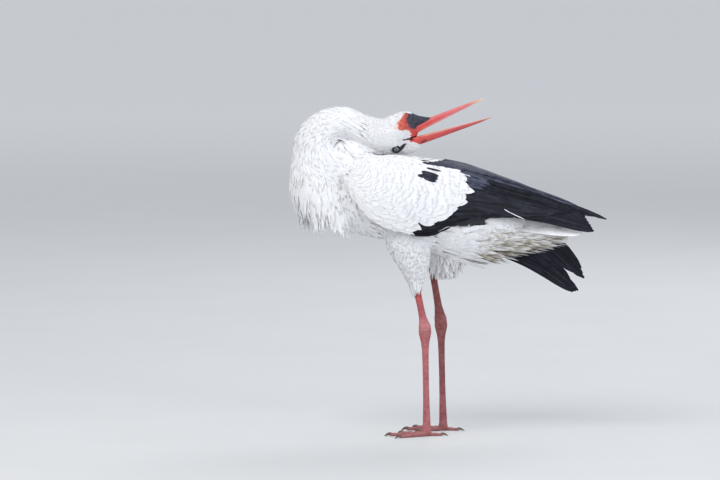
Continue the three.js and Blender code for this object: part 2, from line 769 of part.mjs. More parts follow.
// Adds the largest body of a solid to the bird as a mesh of its own.
function add(name, solid, look) {
  const { vertProperties, numProp, triVerts } = largest(solid).getMesh();
  const places = new Float32Array((vertProperties.length / numProp) * 3);
  for (let i = 0; i < places.length / 3; i++) {
    places.set(vertProperties.subarray(i * numProp, i * numProp + 3), i * 3);
  }
  const geometry = new THREE.BufferGeometry();
  geometry.setAttribute("position", new THREE.BufferAttribute(places, 3));
  geometry.setIndex(new THREE.BufferAttribute(new Uint32Array(triVerts), 1)).computeVertexNormals();
  const mesh = new THREE.Mesh(geometry, new THREE.MeshStandardMaterial({ ...COLOURS[look], metalness: 0 }));
  mesh.name = name;
  bird.add(mesh);
}

// The body of a cut solid that lies nearest to a point.
function bodyAt(bodies, place) {
  const distance = (body) => {
    const { min, max } = body.boundingBox();
    const nearest = place.map((value, k) => clamp(value, min[k], max[k]));
    const middle = min.map((value, k) => (value + max[k]) / 2);
    return vec(place).distanceTo(vec(nearest)) * 1000 + vec(place).distanceTo(vec(middle));
  };
  return bodies.reduce((best, body) => (distance(body) < distance(best) ? body : best));
}

// The trunk with the mantle and the vent's tuft as one body.
const trunkShape = (grow) =>
  union([
    limb(TRUNK, { grow, steps: 12, sides: 14, egg: 0.05 }),
    limb(MANTLE, { grow, steps: 4, sides: 8 }),
    limb(VENT_TUFT, { grow, steps: 3, sides: 8 }),
  ]);
const trunk = trunkShape(0);
const trunkRoom = trunkShape(GAP);

// Neck and head, parted by thin cuts.
const neck = wholeNeck(0).subtract(trunkRoom);
const bills = { upper_bill: UPPER_BILL, lower_bill: LOWER_BILL };
const billRoom = union(Object.values(bills).map((one) => mandible(one, GAP)));
const eyeRoom = union([LEFT, RIGHT].map((side) => eyeball(side, GAP)));
const neckPieces = largest(neck).subtract(union(Object.values(CUTS).map(slice))).decompose();
add("trunk", trunk, "plumage");
add("neck_lower", bodyAt(neckPieces, [-240, 0, 510]), "plumage");
add("neck_bend", bodyAt(neckPieces, [-228, 0, 625]), "plumage");
add("neck_upper", bodyAt(neckPieces, [-150, 0, 620]), "plumage");
const head = bodyAt(neckPieces, [-75, 0, 610]).subtract(union([eyeRoom, billRoom, gapeWedge()]));
add("head", head, "plumage");
for (const [name, shape] of Object.entries(bills)) add(name, mandible(shape), "bill");

// Wings: coverts over flight feathers, each cut clear of what it lies on.
const neckRoom = wholeNeck(GAP);
const tailRoom = union([tail(GAP), undertail(GAP)]);
const wingRooms = [];
for (const side of [LEFT, RIGHT]) {
  const name = side === LEFT ? "left" : "right";
  const place = wingPlace(side).toArray();
  const set = (solid) => solid.transform(place);
  const parts = [
    ["wing_coverts", coverts],
    ["scapulars", (s, grow) => feathers(s, SCAPULARS, grow)],
    ["secondaries", (s, grow) => feathers(s, SECONDARIES, grow)],
    ["primaries", (s, grow) => feathers(s, PRIMARIES, grow)],
  ];
  let taken = union([trunkRoom, neckRoom]);
  for (const [part, shape] of parts) {
    const room = set(shape(side, GAP));
    const look = part === "wing_coverts" ? "plumage" : "flight";
    add(name + "_" + part, set(shape(side, 0)).subtract(taken), look);
    taken = union([taken, room]);
    wingRooms.push(room);
  }
}
const wingRoom = union(wingRooms);
add("tail", tail().subtract(trunkRoom).subtract(wingRoom), "plumage");
add("undertail_coverts", undertail().subtract(union([trunkRoom, wingRoom, tail(GAP)])), "plumage");

// Eyes and legs.
for (const side of [LEFT, RIGHT]) {
  const name = side === LEFT ? "left" : "right";
  add(name + "_eye", eyeball(side), "eye");
  const thighShape = (grow) => limb(mirrored(LEGS[side].thigh, side), { grow, steps: 7, sides: 12 });
  const body = union([trunkRoom, wingRoom, undertail(GAP)]);
  add(name + "_thigh", thighShape(0).subtract(body), "plumage");
  add(name + "_shin", shin(side).subtract(union([body, thighShape(GAP)])), "leg");
  add(name + "_tarsus", tarsus(side).subtract(shin(side, GAP)).subtract(foot(side, GAP)), "leg");
  add(name + "_foot", foot(side), "leg");
  for (const one of TOES) {
    add(name + "_" + one.name + "_claw", claw(side, one).subtract(toe(side, one, GAP)), "claw");
  }
}

const box = new THREE.Box3().setFromObject(bird);
const middle = box.getCenter(new THREE.Vector3());
bird.position.set(-middle.x, -middle.y, -box.min.z);

export default bird;
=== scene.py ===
"""Looks of the white stork: skin, plumage, bill, eyes, legs and claws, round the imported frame."""

import math

import bmesh
import bpy
import numpy as np
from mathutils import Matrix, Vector
from mathutils.bvhtree import BVHTree
from mathutils.kdtree import KDTree


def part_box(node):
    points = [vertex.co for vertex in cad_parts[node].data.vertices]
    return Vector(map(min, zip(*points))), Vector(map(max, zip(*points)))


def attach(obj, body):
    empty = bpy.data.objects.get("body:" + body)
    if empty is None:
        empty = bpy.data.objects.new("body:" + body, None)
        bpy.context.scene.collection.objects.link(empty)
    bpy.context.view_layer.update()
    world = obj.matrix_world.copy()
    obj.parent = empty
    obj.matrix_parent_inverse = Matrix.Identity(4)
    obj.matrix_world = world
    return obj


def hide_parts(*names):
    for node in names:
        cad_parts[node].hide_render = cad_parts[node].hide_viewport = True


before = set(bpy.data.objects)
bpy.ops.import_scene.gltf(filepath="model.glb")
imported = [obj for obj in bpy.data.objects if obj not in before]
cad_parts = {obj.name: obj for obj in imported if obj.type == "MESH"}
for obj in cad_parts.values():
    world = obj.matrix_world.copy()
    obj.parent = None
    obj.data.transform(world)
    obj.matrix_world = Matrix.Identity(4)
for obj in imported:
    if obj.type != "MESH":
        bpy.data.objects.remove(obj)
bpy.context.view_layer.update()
rng = np.random.default_rng(11)

LEFT, RIGHT = -1, 1  # side signs: +Y is the bird's right
SIDES = {LEFT: "left", RIGHT: "right"}
FULL_TURN = 2 * math.pi
UP = np.array([0.0, 0, 1])
ACROSS = np.array([0.0, 1, 0])

# ---------------------------------------------------------------- the form, in millimetres
# These rows repeat the part's own: x, y, z of a section's middle, its half width and its half depth.

TRUNK = [
    (-236, 0, 500, 18, 20), (-222, 0, 500, 38, 46), (-190, 0, 499, 56, 75), (-150, 0, 492, 70, 87),
    (-100, 0, 480, 80, 85.5), (-40, 0, 475, 86, 91), (15, 0, 462, 86, 96), (60, 0, 443, 79, 95),
    (98, 0, 430, 66, 80), (132, 0, 424, 53, 58), (162, 0, 424, 39, 35), (184, 0, 425, 25, 18),
]
MANTLE = [
    (-216, 0, 568, 27, 33), (-196, 0, 566, 36, 41), (-165, 0, 556, 44, 42), (-130, 0, 544, 44, 31),
    (-95, 0, 534, 34, 24),
]
VENT_TUFT = [(22, 20, 392, 40, 32), (10, 24, 350, 22, 22), (4, 27, 320, 8, 8), (2, 28, 311, 2, 2)]
UNDERTAIL = [
    (20, 0, 396, 50, 46), (60, 0, 398, 46, 42), (100, 0, 401, 38, 36), (140, 0, 403, 32, 30),
    (185, 0, 406, 26, 20), (225, 0, 408, 18, 12), (262, 0, 409, 8, 6),
]
NECK = [
    (-140, 0, 494, 52, 58), (-196, 0, 520, 52, 60), (-236, 0, 556, 47, 53), (-245, 0, 592, 41, 45),
    (-227, 0, 622, 36, 38), (-190, 0, 635, 32, 33), (-154, 0, 621, 30, 32.5), (-122, 0, 608, 29, 35),
    (-100, 0, 606, 28, 37.5), (-80, 0, 609.5, 25.5, 41), (-64, 0, 612.5, 21, 44), (-50, 0, 611.5, 15, 42.5),
    (-41, 0, 610, 9, 30), (-38, 0, 609, 4, 14),
]
FOREHEAD = [
    (-70, 0, 590, 17, 19), (-56, 0, 588, 14, 18.5), (-45, 0, 588, 10.5, 14), (-36, 0, 589.5, 6.5, 8.5),
    (-32.5, 0, 590.5, 3, 4),
]
GULAR = [
    (-66, 0, 636, 13, 16), (-50, 0, 637, 11.5, 16.5), (-36, 0, 637, 9, 12.5), (-20, 0, 639.5, 6.5, 7),
    (-6, 0, 642.5, 3.5, 2.2),
]
BIB = [
    (-240, 0, 592, 28, 34), (-241, 0, 565, 47, 54), (-238, 0, 535, 56, 59), (-234, 0, 505, 62, 62),
    (-221, 0, 472, 66, 61), (-211, 0, 447, 60, 55), (-205, 0, 436, 48, 42),
]
THIGH = {
    LEFT: [
        (-60, 44, 440, 30, 46), (-58, 45, 403, 33, 46), (-46, 45, 355, 27, 34), (-42, 44, 318, 16, 19),
        (-40.5, 44, 300, 9.5, 11), (-39.5, 44, 291, 4, 5),
    ],
    RIGHT: [
        (-20, 44, 430, 30, 48), (-16, 45, 400, 31, 44), (-9, 45, 368, 23, 28), (-6, 44, 346, 12, 14),
        (-5, 44, 338, 4, 5),
    ],
}
TRUNK_EGG, NECK_EGG = 0.05, 0.16  # how egg-shaped their sections are
LEG = {  # knee, ankle and heel
    LEFT: ((-42, 44, 312), (-23, 43, 220), (-19, 43, 20)),
    RIGHT: ((-12, 44, 362), (11, 43, 225), (16, 43, 20)),
}
# Leg sections: share of the way down, half width and half depth. The foot joint has heights instead.
SHIN_ROWS = [
    (-0.12, 7.5, 7.8), (0, 7.2, 7.5), (0.25, 6.5, 7.1), (0.5, 6.2, 6.9), (0.75, 6.4, 7.6), (0.88, 7.8, 10.2),
    (0.97, 9.4, 12.6), (1.02, 8.2, 11.5),
]
TARSUS_ROWS = [
    (-0.045, 7.4, 10.2), (0.0, 9.3, 12.4), (0.04, 9.5, 13), (0.085, 8.7, 11.4), (0.14, 7.2, 8.8),
    (0.22, 5.9, 7.1), (0.35, 5.3, 6.5), (0.55, 5.2, 6.3), (0.75, 5.6, 6.6), (0.9, 6.8, 7.5), (1.0, 7.4, 8.2),
]
FOOT_JOINT_ROWS = [(1.5, 4.5, 5), (4, 7.2, 8), (9, 8.3, 9.2), (15, 7.9, 8.6), (22, 7.3, 7.6), (31, 6.8, 7.2)]
# Each toe's turn from straight ahead in degrees, length, radius at its root and number of pads.
TOES = {"inner": (-29, 57, 5, 3), "middle": (1, 74, 5.2, 3), "outer": (30, 63, 5, 4),
    "hind": (187, 32, 4.2, 2)}
TOE_SINK = 0.8  # how far the pads are pressed flat
WEB_REACH, WEB_HOLLOW = 27, 9
WEB_SECTION = [(0, 6.0), (0.6, 5.2), (1, 3.2), (1, 1.6), (0.6, 1.2), (0, 1.2)]  # share of the reach, height
CLAW_LENGTH = 12
EYE = (-80.8, 16.6, 581)
EYE_RADIUS = 7.5
# Bill rows: share of the length, half width and depth. Ridge is the side that the round back lies on.
UPPER_BILL = {
    "base": (-66, 0, 598.5), "tip": (112.5, 0, 645.6), "ridge": -1,
    "rows": [(0, 8, 12), (0.14, 9.2, 17), (0.34, 7.4, 14.6), (0.6, 5, 10), (0.86, 2.8, 5.2), (1, 0.8, 1.2)],
}
LOWER_BILL = {
    "base": (-64, 0, 601), "tip": (97.5, 0, 682.5), "ridge": 1,
    "rows": [(0, 7, 13), (0.1, 8, 17), (0.32, 7.3, 16.2), (0.6, 5.1, 11.2), (0.86, 3, 6), (1, 0.8, 1.2)],
}
# The folded wing: x, top edge (out, height), bottom edge (out, height), bulge.
WING_FRONT = -182.0
WING = [
    (WING_FRONT, 46, 536, 66, 508, 6), (-165, 42, 556, 74, 478, 12), (-132, 36, 565, 84, 443, 20),
    (-73, 30, 567.5, 90, 417, 27), (-12, 26, 562.5, 88, 414, 26), (45, 24, 551, 81, 434, 20),
    (90, 23, 536, 72, 439, 14), (140, 22, 517, 62, 441, 9), (220, 19, 488, 49, 437, 5),
    (276, 16, 468, 43, 425, 3), (318, 15, 452, 39, 413, 2), (346, 15, 441, 37, 404, 1),
]
SHOULDER = np.array([-150.0, 0, 530])
WING_POSE = {  # droop and spread in degrees; rows of x, slide outwards, fan upwards
    LEFT: (0, 0, [(-182, 0, 0), (346, 0, 0)]),
    RIGHT: (
        16.5, 2.4,
        [(-182, 2, 0), (-132, 12, 0), (-73, 27, 0), (-12, 38, 0), (90, 36, 4), (220, 24, 40), (276, 22, 50),
         (346, 22, 34)],
    ),
}
# The side view's outlines, as x and z: the white coverts on the near wing, the single ones that break its
# edge, and on the head the bare skin round the eye, the throat's and the black at the chin.
COVERT_BORDER = [
    (-60, 640), (-58, 562), (-27, 551), (0, 545), (31, 543), (41, 533), (74, 523), (60, 514), (75, 495),
    (62, 486), (41, 467), (25, 453), (13, 459), (-2, 452), (-5, 436), (-24, 441), (-37, 440), (-31, 426),
    (-45, 414), (-53, 403), (-60, 360),
]
COVERT_OUTLINE = COVERT_BORDER + [(-202, 360), (-202, 640)]
COVERT_TEETH = [
    (71, 520), (76, 495), (62, 477), (42, 466), (25, 452), (5, 444), (-5, 436), (-18, 441), (-31, 425),
    (-44, 413), (-52, 404),
]
EYE_PATCH = [
    (-95, 580.5), (-88, 585.5), (-80, 588), (-73, 587.5), (-67, 591), (-61, 594.5), (-60, 592.5),
    (-62.5, 588), (-67, 582), (-72, 577), (-82, 572.5), (-89, 577),
]
THROAT = [
    (-102, 624), (-90, 629), (-80, 633), (-73, 641), (-66, 650), (-60, 660), (0, 660), (0, 622), (-49, 616),
    (-58, 619), (-76, 620), (-88, 619.5),
]
THROAT_BLACK = [(-58, 660), (-58, 648), (-61, 640), (-54, 627), (-46, 622), (-30, 620), (0, 620), (0, 660)]
MOUTH = np.array([(-77, 598.6), (-36, 604.4)])  # the gape's back and front, x and z

eye_lo, eye_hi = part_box("left_eye")
SHIFT = np.array((eye_lo + eye_hi) / 2) * 1000 - np.array([EYE[0], -EYE[1], EYE[2]])


def metres(points):
    """Points of the form, in millimetres, as points of the row frame, in metres."""
    return (np.asarray(points, float) + SHIFT) / 1000


def mirrored(point, side):
    """A point of the form, given for the bird's right, on a side."""
    return np.array(point) * (1, side, 1)


# ---------------------------------------------------------------- curves and surfaces


def unit(v):
    return v / np.maximum(np.linalg.norm(v, axis=-1, keepdims=True), 1e-9)


def smooth(x, low, high):
    """0 at low, 1 at high, with an easy passage between them. Low may be the larger one."""
    s = np.clip((np.asarray(x, float) - low) / (high - low), 0, 1)
    return s * s * (3 - 2 * s)


def catmull(points, t):
    """The centripetal Catmull-Rom curve through the points, at t from 0 to 1."""
    p = np.asarray(points, float)
    u = np.clip(t, 0, 1) * (len(p) - 1)
    i = np.minimum(u.astype(int), len(p) - 2)
    w = (u - i)[..., None]
    wide = np.vstack([2 * p[0] - p[1], p, 2 * p[-1] - p[-2]])
    a, b, c, d = (wide[i + k] for k in range(4))
    g0, g1, g2 = (
        np.maximum(((x - y) ** 2).sum(-1, keepdims=True) ** 0.25, 1e-4) for x, y in ((a, b), (b, c), (c, d))
    )
    leave = ((b - a) / g0 - (c - a) / (g0 + g1) + (c - b) / g1) * g1
    arrive = ((c - b) / g1 - (d - b) / (g1 + g2) + (d - c) / g2) * g1
    rise = c - b
    return b + w * (leave + w * (3 * rise - 2 * leave - arrive + w * (leave + arrive - 2 * rise)))


def between(rows, x):
    """Values at x between the rows of a table whose first column is x: a cubic through the rows."""
    r = np.asarray(rows, float)
    x = np.asarray(x, float)
    i = np.clip(np.searchsorted(r[:, 0], x, side="right") - 1, 0, len(r) - 2)
    before, low, high, after = r[np.maximum(i - 1, 0)], r[i], r[i + 1], r[np.minimum(i + 2, len(r) - 1)]
    step = (high - low)[..., :1]
    t = np.clip((x[..., None] - low[..., :1]) / step, 0, 1)
    leave = (high - before) / np.maximum((high - before)[..., :1], 1e-9) * step
    arrive = (after - low) / np.maximum((after - low)[..., :1], 1e-9) * step
    rise = high - low
    return (low + t * (leave
        + t * (3 * rise - 2 * leave - arrive + t * (leave + arrive - 2 * rise))))[..., 1:]


class Limb:
    """A round limb through its rows. Turn 0 is the bird's right, and a quarter turn is along x across
    the path."""

    def __init__(self, rows, egg=0.0, side=RIGHT):
        rows = np.asarray(rows, float)
        self.places = mirrored(rows[:, :3], side)
        self.sizes = np.column_stack([rows[:, 3:5], np.zeros(len(rows))])
        self.egg = egg

    def centre(self, t):
        return catmull(self.places, np.asarray(t, float))

    def along(self, t):
        t = np.clip(np.asarray(t, float), 0, 1)
        return unit(self.centre(np.minimum(t + 1e-4, 1)) - self.centre(np.maximum(t - 1e-4, 0)))

    def axes(self, t):
        """Directions along the limb, across it towards turn 0 and through it towards a quarter turn."""
        along = self.along(t)
        across = unit(ACROSS - along * along[..., 1:2])
        return along, across, np.cross(along, across)

    def speed(self, t):
        """Millimetres for each 1 of t."""
        t = np.clip(np.asarray(t, float), 0.002, 0.998)
        return np.linalg.norm(self.centre(t + 1e-3) - self.centre(t - 1e-3), axis=-1) / 2e-3

    def point(self, t, turn, lift=0.0):
        """The surface at t and turn, lifted off it. Past its ends the limb runs straight on."""
        t, turn = np.broadcast_arrays(np.asarray(t, float), np.asarray(turn, float))
        along, across, through = self.axes(t)
        size = catmull(self.sizes, t)
        wide, deep = (np.maximum(size[..., k] + lift, 0.8) for k in (0, 1))
        cos, sin = np.cos(turn), np.sin(turn)
        x = (wide * cos * (1 - self.egg * sin))[..., None]
        past = (t - np.clip(t, 0, 1))[..., None] * self.speed(t)[..., None]
        return self.centre(t) + along * past + across * x + through * (deep * sin)[..., None]

    def nearest_t(self, points, steps=200):
        t = np.linspace(0, 1, steps)
        gaps = ((points[:, None, :] - self.centre(t)[None]) ** 2).sum(-1)
        return t[gaps.argmin(1)]


def wing_place(side, points):
    """Carries points of a folded wing to its side's droop and spread about the shoulder."""
    droop, spread = (math.radians(a) for a in WING_POSE[side][:2])
    spread *= side
    x, y, z = np.moveaxis(points - SHOULDER, -1, 0)
    x, z = x * math.cos(droop) + z * math.sin(droop), z * math.cos(droop) - x * math.sin(droop)
    x, y = x * math.cos(spread) - y * math.sin(spread), x * math.sin(spread) + y * math.cos(spread)
    return np.stack([x, y, z], -1) + SHOULDER


def wing_section(side, x):
    """A wing's top edge, the way from there to its bottom edge, and its bulge, at x."""
    row = between(WING, x)
    top = row[..., 0:2] + between(WING_POSE[side][2], x)
    return top, row[..., 2:4] - top, row[..., 4:5]


def sheet(side, x, v, lift=0.0, placed=True):
    """The point of a wing's sheet at x, a share v of the way down from its top edge, lifted off it."""
    x, v, lift = np.broadcast_arrays(*(np.asarray(a, float) for a in (x, v, lift)))
    top, chord, bulge = wing_section(side, x)
    out = unit(np.stack([-chord[..., 1], chord[..., 0]], -1))
    lean = -4 * bulge * (1 - 2 * v[..., None]) / (chord**2).sum(-1, keepdims=True)
    normal = unit(out + chord * lean)
    p = top + chord * v[..., None] + out * 4 * bulge * (v * (1 - v))[..., None] + normal * lift[..., None]
    points = np.stack([x, side * p[..., 0], p[..., 1]], -1)
    return wing_place(side, points) if placed else points


def sheet_width(side, x):
    return np.linalg.norm(wing_section(side, np.asarray(x))[1], axis=-1)


def inside(polygon, points):
    """Which points lie in a polygon."""
    p = np.asarray(polygon, float)
    q = np.roll(p, -1, axis=0)
    x, y = points[:, 0:1], points[:, 1:2]
    crosses = (p[:, 1] > y) != (q[:, 1] > y)
    at = p[:, 0] + (y - p[:, 1]) * (q[:, 0] - p[:, 0]) / np.where(q[:, 1] == p[:, 1], 1e-9, q[:, 1] - p[:, 1])
    return (crosses & (x < at)).sum(1) % 2 == 1


def distance_to(polygon, points):
    """Signed distance in the side view, positive inside the polygon."""
    p = np.asarray(polygon, float)
    edge = np.roll(p, -1, axis=0) - p
    share = ((points[:, None] - p) * edge).sum(-1) / (edge**2).sum(-1)
    foot = p + edge * np.clip(share, 0, 1)[..., None]
    gap = np.linalg.norm(points[:, None] - foot, axis=-1).min(1)
    return np.where(inside(p, points), gap, -gap)


def mouth_gap(side_view):
    """How far places of the side view lie from the line of the gape."""
    back, front = MOUTH
    share = np.clip(((side_view - back) @ (front - back)) / ((front - back) @ (front - back)), 0, 1)
    return np.linalg.norm(side_view - back - share[:, None] * (front - back), axis=1)


def wobble(points, size, seed=0):
    """A smooth number between -1 and 1 that wanders with place."""
    phase = np.array([1.3, 4.1, 2.2]) + seed
    p = points / size
    waves = np.sin(p @ [1.0, 0.6, -0.4] + phase[0]) + np.sin(p @ [-0.7, 1.1, 0.8] + phase[1])
    return (waves + np.sin(p @ [0.5, -0.9, 1.3] + phase[2])) / 3


# ---------------------------------------------------------------- meshes


def outward(verts, faces):
    """The faces of one closed mesh, turned so that they look outwards."""
    a, b, c, d = (verts[faces[:, k]] for k in range(4))
    volume = (np.cross(b - a, c - a) * a).sum() + (np.cross(c - a, d - a) * a).sum()
    return faces if volume > 0 else faces[:, ::-1]


def grid_faces(rows, columns, closed=False):
    """Four-cornered faces of a grid whose rows are rings. Closed also joins the last row to the first."""
    i, j = np.meshgrid(np.arange(rows if closed else rows - 1), np.arange(columns), indexing="ij")
    a, b = i * columns + j, i * columns + (j + 1) % columns
    if not closed:
        return np.stack([a, b, b + columns, a + columns], -1).reshape(-1, 4)
    following = (i + 1) % rows * columns
    return np.stack([a, b, following + (j + 1) % columns, following + j], -1).reshape(-1, 4)


def set_colours(mesh, name, values):
    """Gives a mesh's points three numbers each, held as a colour."""
    full = np.ones((len(mesh.vertices), 4), np.float32)
    full[:, :3] = values
    mesh.color_attributes.new(name, "FLOAT_COLOR", "POINT").data.foreach_set("color", full.ravel())


def mesh_object(name, verts, faces, material=None, uvs=None, tint=None, sharp=None):
    """A mesh object in the row frame. Verts are in millimetres and faces have four corners each."""
    mesh = bpy.data.meshes.new(name)
    faces = np.asarray(faces, np.int32)
    mesh.vertices.add(len(verts))
    mesh.vertices.foreach_set("co", metres(verts).astype(np.float32).ravel())
    mesh.loops.add(faces.size)
    mesh.loops.foreach_set("vertex_index", faces.ravel())
    mesh.polygons.add(len(faces))
    mesh.polygons.foreach_set("loop_start", np.arange(0, faces.size, faces.shape[1], dtype=np.int32))
    mesh.update(calc_edges=True)
    for layer, values in (uvs or {}).items():
        mesh.uv_layers.new(name=layer).data.foreach_set("uv", np.asarray(values, np.float32).ravel())
    if tint is not None:
        set_colours(mesh, "Tint", tint)
    mesh.polygons.foreach_set("use_smooth", np.ones(len(faces), bool))
    if sharp is not None:
        ends = np.empty(len(mesh.edges) * 2, np.int32)
        mesh.edges.foreach_get("vertices", ends)
        marks = mesh.attributes.new("sharp_edge", "BOOLEAN", "EDGE")
        marks.data.foreach_set("value", sharp[ends.reshape(-1, 2)].all(1))
    mesh.validate()
    thing = bpy.data.objects.new(name, mesh)
    bpy.context.scene.collection.objects.link(thing)
    if material:
        mesh.materials.append(material)
    return thing


def declare(piece, nodes):
    """Tells the frame which body a piece rides and the nodes that it replaces."""
    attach(piece, "root")
    if nodes:
        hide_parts(*nodes)


def lofted(rings):
    """Verts and four-cornered faces of a closed surface through rings, ends closed by a strip of quads."""
    count, n = rings.shape[:2]
    strip = [(k, k + 1, n - 2 - k, n - 1 - k) for k in range(n // 2 - 1)]
    caps = np.array([s[::-1] for s in strip] + [tuple(v + (count - 1) * n for v in s) for s in strip])
    return rings.reshape(-1, 3), np.vstack([grid_faces(count, n), caps])


def limb_mesh(limb, lift=0.0, steps=40, sides=40, start=0.0, end=1.0):
    """A limb as a closed mesh. Lift is a number, or a function of t."""
    t = np.linspace(start, end, steps + 1)[:, None]
    turn = np.arange(sides)[None, :] * 2 * math.pi / sides
    return lofted(limb.point(t, turn, lift(t) if callable(lift) else lift))


def merged(parts):
    """Several meshes as one."""
    starts = np.cumsum([0] + [len(verts) for verts, _ in parts])
    return np.vstack([p[0] for p in parts]), np.vstack([p[1] + start for p, start in zip(parts, starts)])


def remeshed(name, parts, voxel, rounds):
    """The union of closed meshes as one even surface: verts in millimetres, faces and normals."""
    thing = mesh_object(name, *merged(parts))
    bm = bmesh.new()
    bm.from_mesh(thing.data)
    bmesh.ops.recalc_face_normals(bm, faces=bm.faces)
    bm.to_mesh(thing.data)
    bm.free()
    remesh = thing.modifiers.new("remesh", "REMESH")
    remesh.mode = "VOXEL"
    remesh.voxel_size = voxel / 1000
    soften = thing.modifiers.new("soften", "SMOOTH")
    soften.factor, soften.iterations = 0.5, rounds
    made = bpy.data.meshes.new_from_object(thing.evaluated_get(bpy.context.evaluated_depsgraph_get()))
    bpy.data.objects.remove(thing)
    co, normals = (np.empty(len(made.vertices) * 3, np.float32) for _ in range(2))
    made.vertices.foreach_get("co", co)
    made.vertices.foreach_get("normal", normals)
    corners = np.empty(len(made.loops), np.int32)
    made.loops.foreach_get("vertex_index", corners)
    bpy.data.meshes.remove(made)
    return co.reshape(-1, 3) * 1000.0 - SHIFT, corners.reshape(-1, 4), normals.reshape(-1, 3)


class Surface:
    """A closed surface that feathers are laid on."""

    def __init__(self, verts, faces):
        self.verts = verts
        self.tree = BVHTree.FromPolygons([Vector(v) for v in verts], faces.tolist())

    def nearest(self, points):
        found = [self.tree.find_nearest(Vector(p)) for p in points]
        return np.array([f[0] for f in found]), np.array([f[1] for f in found])


# ---------------------------------------------------------------- feathers

# Outlines: share of the length from root to tip, and half width there.
ROUNDED = [(0, 0.45), (0.3, 0.9), (0.6, 1.0), (0.85, 0.78), (1, 0.28)]
SOFT = [(0, 0.4), (0.3, 0.85), (0.55, 1.0), (0.8, 0.7), (1, 0.12)]
POINTED = [(0, 0.5), (0.18, 0.85), (0.4, 1.0), (0.6, 0.86), (0.8, 0.5), (1, 0.05)]
BROAD = [(0, 0.4), (0.12, 0.75), (0.3, 0.95), (0.6, 1.0), (0.8, 0.92), (0.92, 0.66), (0.98, 0.36), (1, 0.14)]
SLIM = [(0, 0.5), (0.15, 0.9), (0.4, 1.0), (0.7, 0.95), (0.85, 0.75), (0.95, 0.42), (1, 0.12)]
TAPERED = [(0, 0.5), (0.25, 0.95), (0.45, 1.0), (0.7, 0.8), (0.9, 0.4), (1, 0.08)]

# Kinds of feather: outline, thickness in millimetres, and arch across it as a share of its half width.
HEAD_DOWN = (SOFT, 0.2, 0.16)
NECK_FEATHER = (POINTED, 0.2, 0.12)
BODY_FEATHER = (SOFT, 0.22, 0.12)
PLUME = (POINTED, 0.4, 0.25)
THIGH_FEATHER = (SOFT, 0.25, 0.08)
CUFF_FEATHER = (POINTED, 0.25, 0.12)
COVERT = (ROUNDED, 0.14, 0.02)
COVERT_TOOTH = (SOFT, 0.3, 0.05)
LIGHT_EDGE = (SLIM, 0.3, 0.05)
WING_QUILL = (BROAD, 0.5, 0.14)
BACK_EDGE_FEATHER = (SLIM, 0.4, 0.22)
FROSTED_FEATHER = (SOFT, 0.3, 0.10)
SPOT_FEATHER = (SLIM, 0.3, 0.08)
TAIL_QUILL = (BROAD, 0.5, 0.10)
OUTER_TAIL_QUILL = (TAPERED, 0.5, 0.10)
UNDERTAIL_FEATHER = (POINTED, 0.35, 0.16)
VENT_FEATHER = (SOFT, 0.3, 0.16)

# A vane's corners: place across it, share of its arch and share of its thickness. The third one is on
# the quill.
VANE_SECTION = [(-1, -1, 0), (-0.5, -0.25, 0.7), (0, 0, 1.2), (0.5, -0.25, 0.7), (1, -1, 0), (0, 0, -0.6)]
VANE_CAPS = [(0, 1, 2, 5), (5, 2, 3, 4)]
SLIM_CORNERS = [0, 2, 4, 5]
ROOT_PATCH = 0.003  # side of a feather's patch on the bake's sheet


class Coat:
    """Feathers gathered into one mesh. Each is a thin closed vane, arched across and pointed or
    rounded at its tip."""

    def __init__(self):
        self.parts = []
        self.count = 0

    def add(self, spine, out, half, kind, roots, length, tone_amount=0.0, spread=1.0, patch=ROOT_PATCH, skew=0.0,
        slim=True):
        """Spine and out are (feathers, rings, 3). Half is each one's largest half width, roots their
        bake places.
        Tint gets a random number up to spread, the tone amount and the length in decimetres. On white
        feathers the tone amount is a brown tone, which on the bib's plumes is painted shade; on black ones it
        is a bluish frosting that is partly painted sheen."""
        n, k = spine.shape[:2]
        tint = [rng.random(n) * spread, np.broadcast_to(tone_amount, (n,)), np.broadcast_to(length, (n,)) / 100]
        outline, thick, arch = kind
        shares = np.linspace(0, 1, k)
        profile = np.interp(shares, *np.array(outline).T)
        width = np.broadcast_to(np.asarray(half, float), (n,))[:, None] * profile[None, :]
        along = unit(np.gradient(spine, axis=1))
        side = unit(np.cross(along, out))
        up = np.cross(side, along)
        section = np.array(VANE_SECTION)
        section[[2, 5], 0] = skew
        if slim:
            section = section[SLIM_CORNERS]
        m = len(section)
        flat = (width * arch)[:, :, None] * section[:, 1] + thick * profile[None, :,
            None] ** 0.5 * section[:, 2]
        verts = spine[:, :, None] + side[:, :, None] * (width[:, :, None] * section[:, 0])[..., None]
        verts = verts + up[:, :, None] * flat[..., None]
        caps = [(0, 1, 2, 3)] if slim else VANE_CAPS
        caps = caps + [tuple((k - 1) * m + corner for corner in cap[::-1]) for cap in caps]
        quads = np.vstack([grid_faces(k, m)[:, [0, 3, 2, 1]], caps])[:, ::-1]
        base = self.count + np.arange(n)[:, None, None] * (k * m)
        vane = np.stack(np.broadcast_arrays(section[None, :, 0] * 0.5 + 0.5, shares[:, None]),
            -1).reshape(-1, 2)
        corners = vane[quads.ravel()]
        patches = roots[:, None, :] + (corners[None] - 0.5) * patch
        edge = np.zeros((k, m), bool)
        edge[:, [0, 2 if slim else 4]] = True
        self.parts.append((
            verts.reshape(-1, 3),
            (quads[None] + base).reshape(-1, 4),
            np.clip(patches, 0, 1).reshape(-1, 2),
            np.broadcast_to(corners, (n, *corners.shape)).reshape(-1, 2),
            np.repeat(np.column_stack(tint), k * m, axis=0),
            np.tile(edge.ravel(), n),
        ))
        self.count += n * k * m

    def build(self, name, material, nodes=()):
        verts, faces, bake, vane, tint, sharp = (np.concatenate(part) for part in zip(*self.parts))
        declare(mesh_object(name, verts, faces, material, {"OFBake": bake, "Vane": vane}, tint, sharp),
            nodes)


